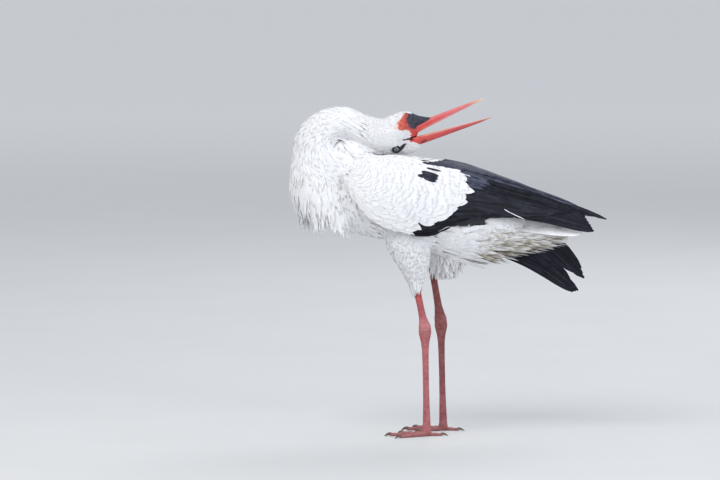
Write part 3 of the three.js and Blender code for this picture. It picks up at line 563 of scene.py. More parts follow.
def straight(roots, tips, out, rings):
    """Straight spines from roots to tips, each with one direction outwards."""
    share = np.linspace(0, 1, rings)[None, :, None]
    return roots[:, None] + (tips - roots)[:, None] * share, np.repeat(out[:, None], rings, axis=1)


def drape(surface, roots, heading, length, rings, lift_root, lift_tip, hug, spread):
    """Spines that start at the roots and follow a surface, each in the direction that heading gives at
    its place.
    Hug is how closely they keep to it where it falls away, and spread their scatter in degrees."""
    jitter = np.radians(rng.normal(0, spread, len(roots)))[:, None]
    step = (length / (rings - 1))[:, None]
    place, normal = surface.nearest(roots)
    spine, outs = [], []
    point = place + normal * lift_root
    for i in range(rings):
        spine.append(point)
        outs.append(normal)
        way = heading(point)
        way = unit(way - normal * (way * normal).sum(1, keepdims=True) * hug)
        point = point + unit(way * np.cos(jitter) + np.cross(normal, way) * np.sin(jitter)) * step
        place, found = surface.nearest(point)
        height = ((point - place) * found).sum(1, keepdims=True)
        gap = lift_root + (lift_tip - lift_root) * min(1.0, (i + 1) / (rings - 1)) ** 0.7 - height
        point = point + found * np.where(gap > 0, gap, gap * hug)
        normal = unit(normal * (1 - hug) * 0.6 + found * (0.4 + 0.6 * hug))
    return np.stack(spine, 1), np.stack(outs, 1)


def flow(limb, t, turn, length, rings, way, lift_root, lift_tip, sway):
    """Spines that run along a limb from t and turn, way +1 or -1, and leave its turn only by their sway."""
    step = length / (rings - 1)
    slant = rng.normal(0, sway, len(t))
    spine, outs = [], []
    for i in range(rings):
        lift = lift_root + (lift_tip - lift_root) * (i / (rings - 1)) ** 0.7
        here = limb.point(t, turn, lift)
        ahead = (limb.point(t + way * 2e-3, turn, lift) - here) / 2e-3
        round_ = (limb.point(t, turn + 0.02, lift) - here) / 0.02
        spine.append(here)
        outs.append(unit(np.cross(round_, ahead) * way))
        pace = np.maximum(np.linalg.norm(ahead, axis=1), 0.35 * limb.speed(t))
        t = t + way * step * np.cos(slant) / pace
        turn = turn + step * np.sin(slant) / np.maximum(np.linalg.norm(round_, axis=1), 4.0)
    return np.stack(spine, 1), np.stack(outs, 1)


def rows_on(limb, start, end, gap_along, gap_round, first=0.0, last=FULL_TURN):
    """Root places in staggered rows over a limb: t and turn."""
    path = np.linspace(start, end, 400)
    walked = np.concatenate([[0], np.cumsum(np.linalg.norm(np.diff(limb.centre(path), axis=0), axis=1))])
    count = max(2, int(walked[-1] / gap_along))
    places = []
    for row in range(count + 1):
        t = np.interp(walked[-1] * row / count, walked, path)
        wide, deep = catmull(limb.sizes, np.array(t))[:2]
        number = max(3, int(math.sqrt((wide**2 + deep**2) / 2) * (last - first) / gap_round))
        turn = first + (np.arange(number) + 0.5 * (row % 2)) / number * (last - first)
        turn = turn + rng.normal(0, 0.16 / number * (last - first), number)
        places.append(np.column_stack([np.full(number, t)
            + rng.normal(0, 0.12 * (end - start) / count, number), turn]))
    t, turn = np.vstack(places).T
    return np.clip(t, 0, 1), turn


def atlas(t, turn, left=0.0, right=1.0):
    """The bake place of a root: its t and turn on a limb, laid out in a strip of the sheet."""
    return np.column_stack([left + (right - left) * np.clip(t, 0, 1), turn / FULL_TURN % 1.0])


# ---------------------------------------------------------------- materials


class Shader:
    """A material's node tree, built a call at a time."""

    def __init__(self, name, roughness, **settings):
        self.material = bpy.data.materials.new(name)
        self.material.use_nodes = True
        self.tree = self.material.node_tree
        self.bsdf = self.tree.nodes["Principled BSDF"]
        self.bsdf.inputs["Roughness"].default_value = roughness
        for socket, value in settings.items():
            self.bsdf.inputs[socket.replace("_", " ")].default_value = value

    def feed(self, socket, value):
        if isinstance(value, bpy.types.NodeSocket):
            self.tree.links.new(value, socket)
        elif hasattr(value, "__len__") and len(value) == 3 and socket.type == "RGBA":
            socket.default_value = (*value, 1)
        else:
            socket.default_value = value

    def node(self, kind, values=(), **settings):
        """A new node with its settings, its inputs fed in order, or by key where values is a dictionary."""
        made = self.tree.nodes.new("ShaderNode" + kind)
        for key, value in settings.items():
            setattr(made, key, value)
        for key, value in values.items() if isinstance(values, dict) else enumerate(values):
            self.feed(made.inputs[key], value)
        return made

    def math(self, operation, a, b=0.0):
        return self.node("Math", (a, b), operation=operation).outputs[0]

    def times(self, a, b):
        return self.math("MULTIPLY", a, b)

    def plus(self, a, b):
        return self.math("ADD", a, b)

    def mix(self, share, a, b):
        return self.node("Mix", {0: share, 6: a, 7: b}, data_type="RGBA").outputs[2]

    def attribute(self, name):
        return self.node("Attribute", attribute_name=name).outputs["Color"]

    def split(self, vector):
        return self.node("SeparateXYZ", (vector,)).outputs

    def join(self, *values):
        return self.node("CombineXYZ", values).outputs[0]

    def uv(self, name):
        return self.node("UVMap", uv_map=name).outputs[0]

    def place(self):
        return self.node("TexCoord").outputs["Object"]

    def scaled(self, vector, scale):
        return self.node("VectorMath", (vector, scale), operation="MULTIPLY").outputs[0]

    def noise(self, vector, scale, detail=3.0, roughness=0.5):
        values = {"Vector": vector, "Scale": scale, "Detail": detail, "Roughness": roughness}
        return self.node("TexNoise", values).outputs["Fac"]

    def cell_edges(self, vector, scale):
        values = {"Vector": vector, "Scale": scale}
        return self.node("TexVoronoi", values, feature="DISTANCE_TO_EDGE").outputs["Distance"]

    def between(self, value, low, high, out_low=0.0, out_high=1.0):
        return self.node("MapRange", (value, low, high, out_low, out_high),
            interpolation_type="SMOOTHSTEP").outputs[0]

    def bump(self, height, distance, strength=1.0):
        made = self.node("Bump", {"Strength": strength, "Distance": distance, "Height": height})
        self.feed(self.bsdf.inputs["Normal"], made.outputs[0])

    def colour(self, value):
        self.feed(self.bsdf.inputs["Base Color"], value)

    def roughness(self, value):
        self.feed(self.bsdf.inputs["Roughness"], value)

    def barbs(self, spacing):
        """Soft barbs that run outwards and tipwards from the quill, with what a feather's Vane and
        Tint hold."""
        across, along, _ = self.split(self.uv("Vane"))
        chance, tone_amount, length = self.split(self.attribute("Tint"))
        off = self.math("ABSOLUTE", self.math("SUBTRACT", across, 0.5))
        run = self.math("SUBTRACT", self.times(along, length), self.times(off, 0.09))
        strands = self.join(self.times(run, 10 / spacing), self.times(off, 2.0), self.times(chance, 37.0))
        quill = self.between(off, 0.015, 0.05, 1.0, 0.0)
        return across, along, off, chance, tone_amount, self.noise(strands, 1.0, 2.0), quill


def white_feather():
    s = Shader("white_feather", 0.68, Sheen_Weight=0.25, Sheen_Roughness=0.5, Specular_IOR_Level=0.25)
    _, along, _, chance, tone_amount, strands, quill = s.barbs(1.5)
    plain = s.mix(s.between(strands, 0.3, 0.72), (0.77, 0.772, 0.80), (0.90, 0.895, 0.885))
    plain = s.mix(s.times(chance, 0.28), plain, (0.76, 0.765, 0.82))
    # A brown tone as far as Tint's second number asks; on the bib's plumes that hang against the body it is
    # painted shade.
    browned = s.mix(s.between(strands, 0.25, 0.8), (0.20, 0.175, 0.13), (0.56, 0.50, 0.40))
    patchy = s.between(s.noise(s.place(), 38.0, 4.0, 0.6), 0.25, 0.7, 0.55, 1.25)
    amount = s.times(s.times(tone_amount, patchy), s.between(along, 0.66, 0.98, 1.0, 0.35))
    s.colour(s.mix(s.math("MINIMUM", amount, 1.0), plain, browned))
    s.bump(s.plus(strands, s.times(quill, 0.5)), 0.0005, 0.35)
    return s.material


def black_feather():
    """Black feathers with a bluish frosting in streaks along them and paler lines along their edges: the
    frosting is partly painted sheen and the edge lines are painted highlights.
    """
    s = Shader("black_feather", 0.42, Specular_IOR_Level=0.12)
    across, along, off, chance, frost_and_sheen, strands, quill = s.barbs(1.3)
    deep = s.mix(chance, (0.0035, 0.0035, 0.005), (0.007, 0.006, 0.010))
    # The bluish frosting is partly painted sheen.
    bloom_and_sheen = s.mix(s.noise(s.place(), 30.0, 3.0), (0.040, 0.046, 0.085), (0.13, 0.14, 0.20))
    streaks = s.noise(s.join(s.times(along, 2.2), s.times(across, 7.0), s.times(chance, 29.0)), 1.0, 3.0, 0.6)
    grain = s.between(strands, 0.25, 0.7, 0.35, 1.0)
    amount = s.times(s.times(frost_and_sheen, s.between(streaks, 0.34, 0.64)), grain)
    # Painted highlight: a paler line along each feather's edges.
    amount = s.math("MAXIMUM", amount, s.times(s.between(off, 0.38, 0.5, 0.0, 0.3), grain))
    s.colour(s.mix(s.math("MINIMUM", amount, 1.0), deep, bloom_and_sheen))
    s.roughness(s.between(strands, 0.3, 0.7, 0.34, 0.52))
    s.bump(s.plus(strands, s.times(quill, 1.5)), 0.0006, 0.5)
    return s.material


def bare_skin():
    """Soft skin where Kind is 0, and the legs' scutes where it is 1."""
    s = Shader("skin", 0.5, Specular_IOR_Level=0.45)
    kind, _, _ = s.split(s.attribute("Kind"))
    tint = s.attribute("Tint")
    place = s.place()
    scutes = s.between(s.cell_edges(place, 330.0), 0.0, 0.14)
    rings = s.between(s.cell_edges(s.scaled(place, (150, 150, 420)), 1.0), 0.0, 0.16)
    plates = s.times(scutes, rings)
    wrinkles = s.noise(place, 900.0, 4.0, 0.6)
    mottled = s.between(s.noise(place, 120.0, 4.0, 0.65), 0.3, 0.72)
    legs = s.mix(s.times(s.math("SUBTRACT", 1.0, plates), 0.55), tint, (0.10, 0.012, 0.012))
    legs = s.mix(s.times(mottled, 0.5), legs, s.mix(0.3, legs, (0.95, 0.50, 0.52)))
    soft = s.mix(s.times(mottled, 0.3), tint, s.mix(0.55, tint, (0.0, 0.0, 0.0)))
    s.colour(s.mix(kind, soft, legs))
    s.bump(s.plus(s.times(plates, kind), s.times(wrinkles, 0.45)), 0.0007, 0.8)
    s.roughness(s.between(wrinkles, 0.2, 0.8, 0.42, 0.62))
    return s.material


def bill_horn():
    s = Shader("bill_horn", 0.34, Specular_IOR_Level=0.5, Coat_Weight=0.1, Coat_Roughness=0.25)
    tint = s.attribute("Tint")
    along, across, _ = s.split(s.uv("Vane"))
    streaks = s.noise(s.join(s.times(along, 9.0), s.times(across, 60.0), 0.0), 1.0, 4.0, 0.6)
    worn = s.noise(s.place(), 210.0, 5.0, 0.7)
    # Painted highlights: pale pink streaks along the horn, in the run of its grain.
    colour = s.mix(s.between(streaks, 0.42, 0.8, 0.0, 0.45), tint, s.mix(0.6, tint, (0.86, 0.36, 0.38)))
    s.colour(s.mix(s.between(worn, 0.52, 0.8, 0.0, 0.4), colour, s.mix(0.5, colour, (0.25, 0.02, 0.02))))
    s.roughness(s.between(worn, 0.3, 0.75, 0.28, 0.5))
    s.bump(s.plus(streaks, s.times(worn, 0.6)), 0.0005, 0.6)
    return s.material


def claw_horn():
    s = Shader("claw_horn", 0.4, Specular_IOR_Level=0.5)
    streaks = s.noise(s.scaled(s.place(), (300, 300, 900)), 1.0, 4.0)
    s.colour(s.mix(s.between(streaks, 0.3, 0.7), (0.055, 0.035, 0.03), (0.16, 0.10, 0.075)))
    s.bump(streaks, 0.0003, 0.5)
    return s.material


def eye_glass():
    """Colours by the distance from the eye's axis, in centimetres, held in Vane's first number."""
    s = Shader("eye", 0.05, Specular_IOR_Level=0.6, Coat_Weight=1.0, Coat_Roughness=0.02)
    reach, turn, _ = s.split(s.uv("Vane"))
    fibres = s.noise(s.join(s.times(turn, 46.0), s.times(reach, 3.0), 0.0), 1.0, 3.0)
    iris = s.mix(s.between(fibres, 0.3, 0.7), (0.07, 0.10, 0.15), (0.22, 0.28, 0.36))
    iris = s.mix(s.between(reach, 0.36, 0.44), iris, (0.015, 0.018, 0.025))
    s.colour(s.mix(s.between(reach, 0.215, 0.245), (0.002, 0.002, 0.003), iris))
    return s.material


def studio_floor():
    """Pale and faintly flecked, lighter far away."""
    s = Shader("studio_floor", 0.85, Specular_IOR_Level=0.2)
    fleck = s.noise(s.place(), 3.0, 4.0)
    x, y, _ = s.split(s.place())
    away = s.math("POWER", s.plus(s.times(x, x), s.times(y, y)), 0.5)
    near = s.mix(fleck, (0.60, 0.605, 0.61), (0.65, 0.655, 0.66))
    s.colour(s.mix(s.between(away, 1.5, 12.0), near, (0.93, 0.93, 0.93)))
    s.bump(s.noise(s.place(), 240.0, 3.0), 0.0004, 0.3)
    return s.material


# ---------------------------------------------------------------- the body's limbs

PAD_ROUNDING = 34  # how far back from its front edge a wing's arm grows to its full thickness
COVERT_HEIGHT = 9.0  # how far the coverts' surface stands off the wing's sheet

trunk, neck = Limb(TRUNK, TRUNK_EGG), Limb(NECK, NECK_EGG)
mantle, vent, undertail, bib = Limb(MANTLE), Limb(VENT_TUFT), Limb(UNDERTAIL), Limb(BIB)
forehead, gular = Limb(FOREHEAD), Limb(GULAR)
thighs = {side: Limb(THIGH[side], side=side) for side in SIDES}


def pad_height(x, v, high=COVERT_HEIGHT):
    """How far a wing's arm stands off its sheet: high in its middle, and less towards its edges and
    its front."""
    edge = np.sqrt(np.sin(math.pi * np.clip(v, 0.04, 0.96)))
    return high * edge * np.sqrt(1 - (1 - np.clip((x - WING_FRONT) / PAD_ROUNDING, 0.03, 1)) ** 2)


def wing_pad(side, outer, inner, end=62.0, margin=0.0):
    """The closed slab of a wing's arm, from outer over the sheet to inner under it, rounded at its
    front edge."""
    x = np.linspace(WING_FRONT, end, 40)[:, None]
    v = np.linspace(margin, 1 - margin, 16)[None, :]
    faces = [sheet(side, x, v, pad_height(x, v, outer)), sheet(side, x, v, pad_height(x, v, -inner))[:, ::-1]]
    return lofted(np.concatenate(faces, axis=1))


def heel_ground(side):
    """The place on the ground under a heel."""
    return mirrored(LEG[side][2], side) * (1, 1, 0)


def leg_limbs(side):
    """Shin, tarsus and foot joint of one leg."""
    knee, ankle, heel = (mirrored(p, side) for p in LEG[side])
    ground = heel_ground(side)
    spans = ((knee, ankle, SHIN_ROWS), (ankle, heel, TARSUS_ROWS), (ground, ground + UP, FOOT_JOINT_ROWS))
    return [Limb([(*(top + (foot - top) * row[0]), *row[1:]) for row in rows]) for top, foot, rows in spans]


def toe_way(side, turn):
    """The direction of a toe that is turned by some degrees from straight ahead."""
    return np.array([-math.cos(math.radians(turn)), side * math.sin(math.radians(turn)), 0])


def toe_limb(side, name):
    """A toe with a pad under each of its joints."""
    turn, length, radius, pads = TOES[name]
    rows = []
    for share in np.linspace(0, 1, 4 * pads + 1):
        size = radius * (1 - 0.26 * share) * (1 + 0.07 * math.cos(2 * math.pi * pads * share))
        middle = heel_ground(side) + toe_way(side, turn) * length * share + UP * (size - TOE_SINK)
        rows.append((*middle, size * 0.96, size))
    return Limb(rows)


def web_mesh(side):
    """The skin between the bases of the front toes, its rim curved in between them."""
    first, middle, last = (TOES[name][0] for name in ("inner", "middle", "outer"))
    rings = []
    for turn in np.linspace(first, last, 25):
        part = (turn - first) / (middle - first) if turn < middle else (turn - middle) / (last - middle)
        reach = WEB_REACH - WEB_HOLLOW * math.sin(math.pi * part)
        way = toe_way(side, turn)
        rings.append([heel_ground(side) + way * (reach * share) + UP * high for share, high in WEB_SECTION])
    return lofted(np.array(rings))


# ---------------------------------------------------------------- skin

DOWN = (0.84, 0.835, 0.84)
DARK_SKIN = (0.012, 0.012, 0.016)
LID_BLACK = (0.02, 0.02, 0.026)
JAW_RED = (0.60, 0.05, 0.042)
GAPE_SHADE = (0.06, 0.006, 0.008)
PALE_FLECK, DARK_FLECK = (0.85, 0.38, 0.26), (0.26, 0.018, 0.02)
# Stops of colour: x along the throat, a wandering number, or the height on the leg, with red, green and blue.
THROAT_REDS = [(-104, 0.84, 0.60, 0.55), (-88, 0.80, 0.34, 0.24), (-74, 0.66, 0.10, 0.05),
    (-58, 0.44, 0.035, 0.03)]
INDIGOS = [(-0.6, 0.018, 0.019, 0.036), (0.3, 0.034, 0.034, 0.058), (0.9, 0.05, 0.04, 0.07)]
# Painted light on the legs: the far leg, on the bird's right, gets a darker copy of the near leg's reds as
# painted shade; the near leg's lighter band at the ankle, about 225 high, is partly painted highlight.
NEAR_LEG_LIT_REDS = [
    (0, 0.44, 0.15, 0.155), (30, 0.58, 0.16, 0.17), (120, 0.60, 0.16, 0.175), (200, 0.58, 0.16, 0.17),
    (225, 0.72, 0.27, 0.28), (250, 0.60, 0.13, 0.14), (300, 0.62, 0.055, 0.045), (360, 0.6, 0.05, 0.03),
]
FAR_LEG_SHADED_REDS = [
    (0, 0.34, 0.12, 0.125), (30, 0.40, 0.10, 0.115), (110, 0.27, 0.065, 0.075), (200, 0.26, 0.06, 0.06),
    (225, 0.30, 0.075, 0.07), (300, 0.24, 0.04, 0.04), (360, 0.26, 0.025, 0.03),
]
LORE_SPOT = (-55.5, 592.5)  # the dark spot between eye and bill, x and z
LID_LEAN = math.radians(-8)  # the corners lie along the spur to the bill
# Outwards, forwards.
LID_SECTION = [(0.0, 0.0), (0.9, 0.75), (1.9, 0.75), (3.2, -0.6), (3.9, -3.2), (0.5, -3.0)]
BODY_VOXEL, HEAD_VOXEL, LEG_VOXEL, HULL_VOXEL = 3.6, 1.15, 1.3, 4.2
GAPE_DEPTH = 2.4


def ramp(value, stops):
    """Colours between the stops of a table of value, red, green and blue."""
    table = np.array(stops, float)
    return np.stack([np.interp(value, table[:, 0], table[:, k]) for k in (1, 2, 3)], -1)


def blend(share, a, b):
    return a + (np.asarray(b) - a) * np.asarray(share)[:, None]


def head_colours(points):
    """Down, the orange throat with its black chin, the jaws, the dark skin round the eye, and painted shade
    in the gape.
    """
    side_view = points[:, [0, 2]]
    x, z = side_view.T
    rough = 1.6 * wobble(points, 2.2)
    red = np.minimum(np.where(x > -50, 9, distance_to(THROAT, side_view)), z - 615) + rough
    pale = smooth(wobble(points, 0.75, 5) + 0.6 * wobble(points, 0.45), 0.0, 0.9) * 0.5
    dark = smooth(wobble(points, 1.6, 9) + 0.5 * wobble(points, 0.7, 3), 0.15, 0.8) * 0.75
    rosy = blend(dark, blend(pale, ramp(x, THROAT_REDS), PALE_FLECK), DARK_FLECK)
    colours = blend(smooth(red, -3, 2), np.tile(DOWN, (len(points), 1)), rosy)
    black = distance_to(THROAT_BLACK, side_view) + rough * 1.3 + 1.2 * wobble(points, 0.9, 4)
    colours = blend(smooth(black, -2.5, 1.5), colours, ramp(wobble(points, 1.8, 6), INDIGOS))
    colours = blend(smooth(x, -56, -52) * smooth(z, 622, 617) * smooth(z, 594, 596.5), colours, JAW_RED)
    lores = smooth(distance_to(EYE_PATCH, side_view) + 0.7 * wobble(points, 1.6), -1.0, 0.6)
    spot = smooth(np.hypot(x - LORE_SPOT[0], z - LORE_SPOT[1]), 2.0, 1.0)
    colours = blend(np.maximum(lores, spot) * smooth(np.abs(points[:, 1]), 5, 9), colours, DARK_SKIN)
    # Painted shade: the gape's slit and the wedge between the jaws' bases, a near-black red.
    wedge = mouth_gap(side_view) - 2.4 * smooth(x, -62, -42)
    return blend(smooth(wedge, 2.4, 1.0), colours, GAPE_SHADE)


def leg_colours(points):
    # Painted shade: the far leg takes the darker reds.
    near, far = (ramp(points[:, 2], reds) for reds in (NEAR_LEG_LIT_REDS, FAR_LEG_SHADED_REDS))
    mottling = 1 + 0.14 * wobble(points, 9)[:, None] + 0.08 * wobble(points, 3, 2)[:, None]
    return np.where(points[:, 1:2] < 0, near, far) * mottling


def body_colours(points):
    """Down, and dark where the near wing's black feathers lie over the skin."""
    x, y, z = points.T
    dark = ~inside(COVERT_OUTLINE, points[:, [0, 2]]) & (y * LEFT > 40) & (z > 430) & (x > -60)
    return np.where(dark[:, None], DARK_SKIN, DOWN)


def lid_mesh(side):
    """The two lids: a rim round the eye's almond opening, drawn out to a corner in front and behind."""
    turns = np.linspace(0, FULL_TURN, 72, endpoint=False)
    reach = 1 + 0.34 * np.maximum(np.cos(turns), 0) ** 6 + 0.18 * np.maximum(-np.cos(turns), 0) ** 6
    wide, high = 5.4 * reach * np.cos(turns), 4.3 * np.sin(turns)
    cos, sin = math.cos(LID_LEAN), math.sin(LID_LEAN)
    x, z = wide * cos + high * sin, high * cos - wide * sin
    rings = []
    for outwards, forwards in LID_SECTION:
        stretch = 1 + outwards / np.hypot(wide, high)
        out = np.sqrt(np.maximum(EYE_RADIUS**2 - np.hypot(x, z) ** 2, 4.0)) + forwards
        rings.append(mirrored(EYE, side) + np.stack([x * stretch, side * out, z * stretch], -1))
    verts = np.stack(rings, 1)
    faces = grid_faces(*verts.shape[:2], closed=True)
    faces = faces if side == RIGHT else faces[:, [0, 3, 2, 1]]
    return verts.reshape(-1, 3), outward(verts.reshape(-1, 3), faces)


def neck_depth(t):
    """How deep the skin of the neck lies in its feathers."""
    return -4.6 + 3.2 * smooth(t, 0.5, 0.66)


def body_skin():
    parts = [limb_mesh(trunk, -5), limb_mesh(mantle, -4), limb_mesh(vent, -5, end=0.7)]
    parts += [limb_mesh(neck, neck_depth, 119, 64, end=0.74), limb_mesh(bib, -7, end=0.97)]
    parts += [limb_mesh(thighs[side], -5, end=0.8) for side in SIDES]
    parts += [wing_pad(side, 5.5, 7, margin=0.05) for side in SIDES]
    points, faces, _ = remeshed("body", parts, BODY_VOXEL, 6)
    return points, faces, body_colours(points)


def head_skin():
    """The head, with folds in the throat's skin and the gape sunk in."""
    parts = [limb_mesh(neck, neck_depth, 119, 64, start=0.6), limb_mesh(forehead, -1.4),
        limb_mesh(gular, -0.4, 50)]
    points, faces, normals = remeshed("head", parts, HEAD_VOXEL, 4)
    side_view = points[:, [0, 2]]
    sunk = smooth(mouth_gap(side_view), 3.2, 0.4) * smooth(np.abs(points[:, 1]), 0.5, 4)
    folds = 0.35 * np.sin((points[:, 0] + 0.4 * points[:, 2]) * 1.9 + 2 * wobble(points, 6))
    folds = folds * smooth(distance_to(THROAT, side_view), 0, 3)
    return points - normals * (GAPE_DEPTH * sunk + 0.25 - folds)[:, None], faces, head_colours(points)


def leg_skin():
    """Shins, tarsi and feet, with faint rings round the legs and across the toes, flat on the ground."""
    parts = []
    for side in SIDES:
        parts += [limb_mesh(limb, steps=60, sides=32) for limb in leg_limbs(side)]
        parts += [limb_mesh(toe_limb(side, name), steps=40, sides=20) for name in TOES] + [web_mesh(side)]
    points, faces, normals = remeshed("legs", parts, LEG_VOXEL, 3)
    x, y, z = points.T
    around = np.sin(z * 1.75 + 2.2 * np.sin(y * 0.9)) * smooth(z, 20, 40)
    across = np.sin((x + y * 0.3) * 2.0) * smooth(z, 3, 6) * smooth(z, 14, 9)
    points = points + normals * (0.16 * around + 0.2 * across)[:, None]
    points[:, 2] = np.maximum(points[:, 2], 0)
    return points, faces, leg_colours(points)


def make_skin():
    """One skin from the bill to the toes. Kind tells the legs' scutes from the soft skin."""
    patches = [body_skin(), head_skin(), *((*lid_mesh(side), LID_BLACK) for side in SIDES), leg_skin()]
    tint = np.vstack([np.broadcast_to(colour, points.shape) for points, _, colour in patches])
    thing = mesh_object("skin", *merged([patch[:2] for patch in patches]), bare_skin(), tint=tint)
    kind = np.zeros((len(tint), 3))
    kind[-len(patches[-1][0]):, 0] = 1
    set_colours(thing.data, "Kind", kind)
    nodes = ["trunk", "neck_lower", "neck_bend", "neck_upper", "head"]
    nodes += [f"{SIDES[side]}_{part}" for side in SIDES
        for part in ("wing_coverts", "thigh", "shin", "tarsus", "foot")]
    declare(thing, nodes)


# ---------------------------------------------------------------- eyes, bill and claws

EYE_SIDES = 48
CORNEA_RISE, CORNEA_ANGLE = 0.75, 0.62
# Horn colours: share of the length, red, green and blue. Then how strong the ridge's painted light is, and
# its colour: painted shade on the upper bill's ridge, and on the lower bill's a pale tone that is partly
# painted highlight.
UPPER_TONES = [
    (0, 0.58, 0.045, 0.035), (0.3, 0.60, 0.065, 0.05), (0.45, 0.56, 0.06, 0.065), (0.7, 0.50, 0.065, 0.075),
    (0.88, 0.56, 0.12, 0.095), (1, 0.66, 0.36, 0.22),
]
LOWER_TONES = [
    (0, 0.52, 0.03, 0.025), (0.35, 0.58, 0.045, 0.04), (0.55, 0.58, 0.09, 0.11), (0.8, 0.62, 0.15, 0.15),
    (0.92, 0.72, 0.38, 0.24), (1, 0.80, 0.66, 0.40),
]
UPPER_RIDGE_SHADE = (0.55, (0.30, 0.03, 0.035))
LOWER_RIDGE_PALE_AND_HIGHLIGHT = (0.4, (0.66, 0.34, 0.24))
# The pale biting edges are partly the horn's own tone and partly painted highlight.
BITING_EDGE_PALE_AND_HIGHLIGHT = (0.75, (0.80, 0.50, 0.40))
# Painted shade: the nostril's opening and the groove in front of it.
NOSTRIL_SHADE, GROOVE_SHADE = (0.03, 0.008, 0.008), (0.3, 0.03, 0.03)
NOSTRIL = (0.21, 0.74)  # share of the bill's length and of its depth
NOSTRIL_DEPTH, GROOVE_DEPTH = 1.9, 0.5
# Claw rows: how far past the toe's tip, height, whether the claw's own size adds to that, and width.
CLAW_ROWS = [
    (-0.25 * CLAW_LENGTH, 1.7, 1, 0.8), (0, 1.8, 1, 1.0), (0.25 * CLAW_LENGTH, 1.6, 1, 0.92),
    (0.5 * CLAW_LENGTH, 0.9, 1, 0.74), (0.78 * CLAW_LENGTH, 1.5, 0, 0.42), (CLAW_LENGTH, 0.5, 0, 0.14),
]


def make_eye(side, material):
    """An eyeball with its clear front standing proud, turned round the line across the head."""
    angle = np.concatenate([np.linspace(0.0, 0.7, 26)[1:], np.linspace(0.78, 2.9, 24)])
    away = EYE_RADIUS * np.cos(angle) + CORNEA_RISE * np.sqrt(np.clip(1 - (angle / CORNEA_ANGLE) ** 2, 0, 1))
    reach = EYE_RADIUS * np.sin(angle)
    turns = np.arange(EYE_SIDES) * 2 * math.pi / EYE_SIDES
    x, y, z = reach[:, None] * np.cos(turns), side * away[:, None], reach[:, None] * np.sin(turns)
    verts, faces = lofted(np.stack(np.broadcast_arrays(x, y, z), -1) + mirrored(EYE, side))
    faces = outward(verts, faces)
    ring, turn = faces // EYE_SIDES, faces % EYE_SIDES / EYE_SIDES
    turn = np.where((turn.max(1, keepdims=True) > 0.9) & (turn < 0.1), turn + 1, turn)
    vane = np.stack([np.where(angle[ring] < 1.57, reach[ring], EYE_RADIUS) / 10, turn], -1)
    thing = mesh_object(f"{SIDES[side]}_eyeball", verts, faces, material, {"Vane": vane})
    declare(thing, [f"{SIDES[side]}_eye"])


def make_mandible(name, spec, tones, ridge_tone_and_painted_light, material):
    """One half of the bill: a round back over a slightly hollow biting side with sharp edges."""
    base, tip = np.array(spec["base"], float), np.array(spec["tip"], float)
    away = np.cross(unit(tip - base), ACROSS) * spec["ridge"]
    share = np.concatenate([np.linspace(0, 0.96, 90), 1 - 0.04 * np.cos(np.linspace(0, math.pi / 2, 12))[1:]])
    half, depth = np.moveaxis(between(spec["rows"], share), -1,
        0) * np.sqrt(np.clip((1 - share) / 0.012, 0.02, 1))
    turn = np.linspace(0, math.pi, 25)
    under = np.linspace(-0.92, 0.92, 9)
    across = np.concatenate([np.cos(turn), under])
    level = np.concatenate([np.sin(turn) ** 0.8, 0.12 * np.cos(under * math.pi / 2) ** 0.7 - 0.02])
    rings = base + (tip - base) * share[:, None, None] + (half[:, None] * across)[..., None] * ACROSS
    verts, faces = lofted(rings + (depth[:, None] * level)[..., None] * away)
    long, high = np.repeat(share, len(across)), np.tile(level, len(share))
    edge = smooth(high, 0.24, 0.05) * smooth(long, 0.14, 0.3)
    ridge = smooth(high, 0.7, 1.0) * smooth(long, 0.1, 0.3)
    colours = ramp(long, tones)
    # Painted light: the biting edges are lightened, partly as painted highlight; the upper bill's ridge is
    # darkened as painted shade, and the lower bill's is lightened, partly as painted highlight.
    for amount, (strength, colour) in ((edge, BITING_EDGE_PALE_AND_HIGHLIGHT), (ridge, ridge_tone_and_painted_light)):
        colours = blend(amount * strength, colours, colour)
    colours = colours * (1 + 0.10 * wobble(verts, 3.5)[:, None])
    if spec is UPPER_BILL:
        along, up = long - NOSTRIL[0], high - NOSTRIL[1]
        nostril = smooth(np.hypot(along / 0.045, (up + 1.6 * along) / 0.12), 1.15, 0.5)
        groove = smooth(np.abs(high - 0.6), 0.13, 0.0) * smooth(long, 0.24, 0.3) * smooth(long, 0.62, 0.4)
        verts = verts - ACROSS * (np.sign(verts[:, 1]) * (NOSTRIL_DEPTH * nostril
            + GROOVE_DEPTH * groove))[:, None]
        # Painted shade: the nostril is blackened and the groove darkened.
        colours = blend(0.3 * groove, blend(nostril, colours, NOSTRIL_SHADE), GROOVE_SHADE)
    faces = outward(verts, faces)
    vane = np.stack([long, np.tile(np.linspace(0, 1, len(across)), len(share))], -1)
    thing = mesh_object(f"{name}_horn", verts, faces, material, {"Vane": vane[faces]}, colours)
    declare(thing, [name])


def make_claws(side, material):
    """The four claws of one foot, each bent down to its blunt tip."""
    parts = []
    for turn, length, radius, _ in TOES.values():
        size = radius * 0.6
        rows = []
        for past, high, on_size, width in CLAW_ROWS:
            middle = heel_ground(side) + toe_way(side, turn) * (length + past) + UP * (size * on_size + high)
            rows.append((*middle, size * width * 0.85, size * width))
        verts, faces = limb_mesh(Limb(rows), steps=24, sides=18)
        verts[:, 2] = np.maximum(verts[:, 2], 0)
        parts.append((verts, outward(verts, faces)))
    thing = mesh_object(f"{SIDES[side]}_claws", *merged(parts), material)
    declare(thing, [f"{SIDES[side]}_{name}_claw" for name in TOES])


# ---------------------------------------------------------------- plumage

CREASE = np.array([-212.0, 0, 620])  # where the neck lies on the back
NECK_PART = (0.05, 0.66)  # the stretch of the neck, as t, that the neck's feathers cover
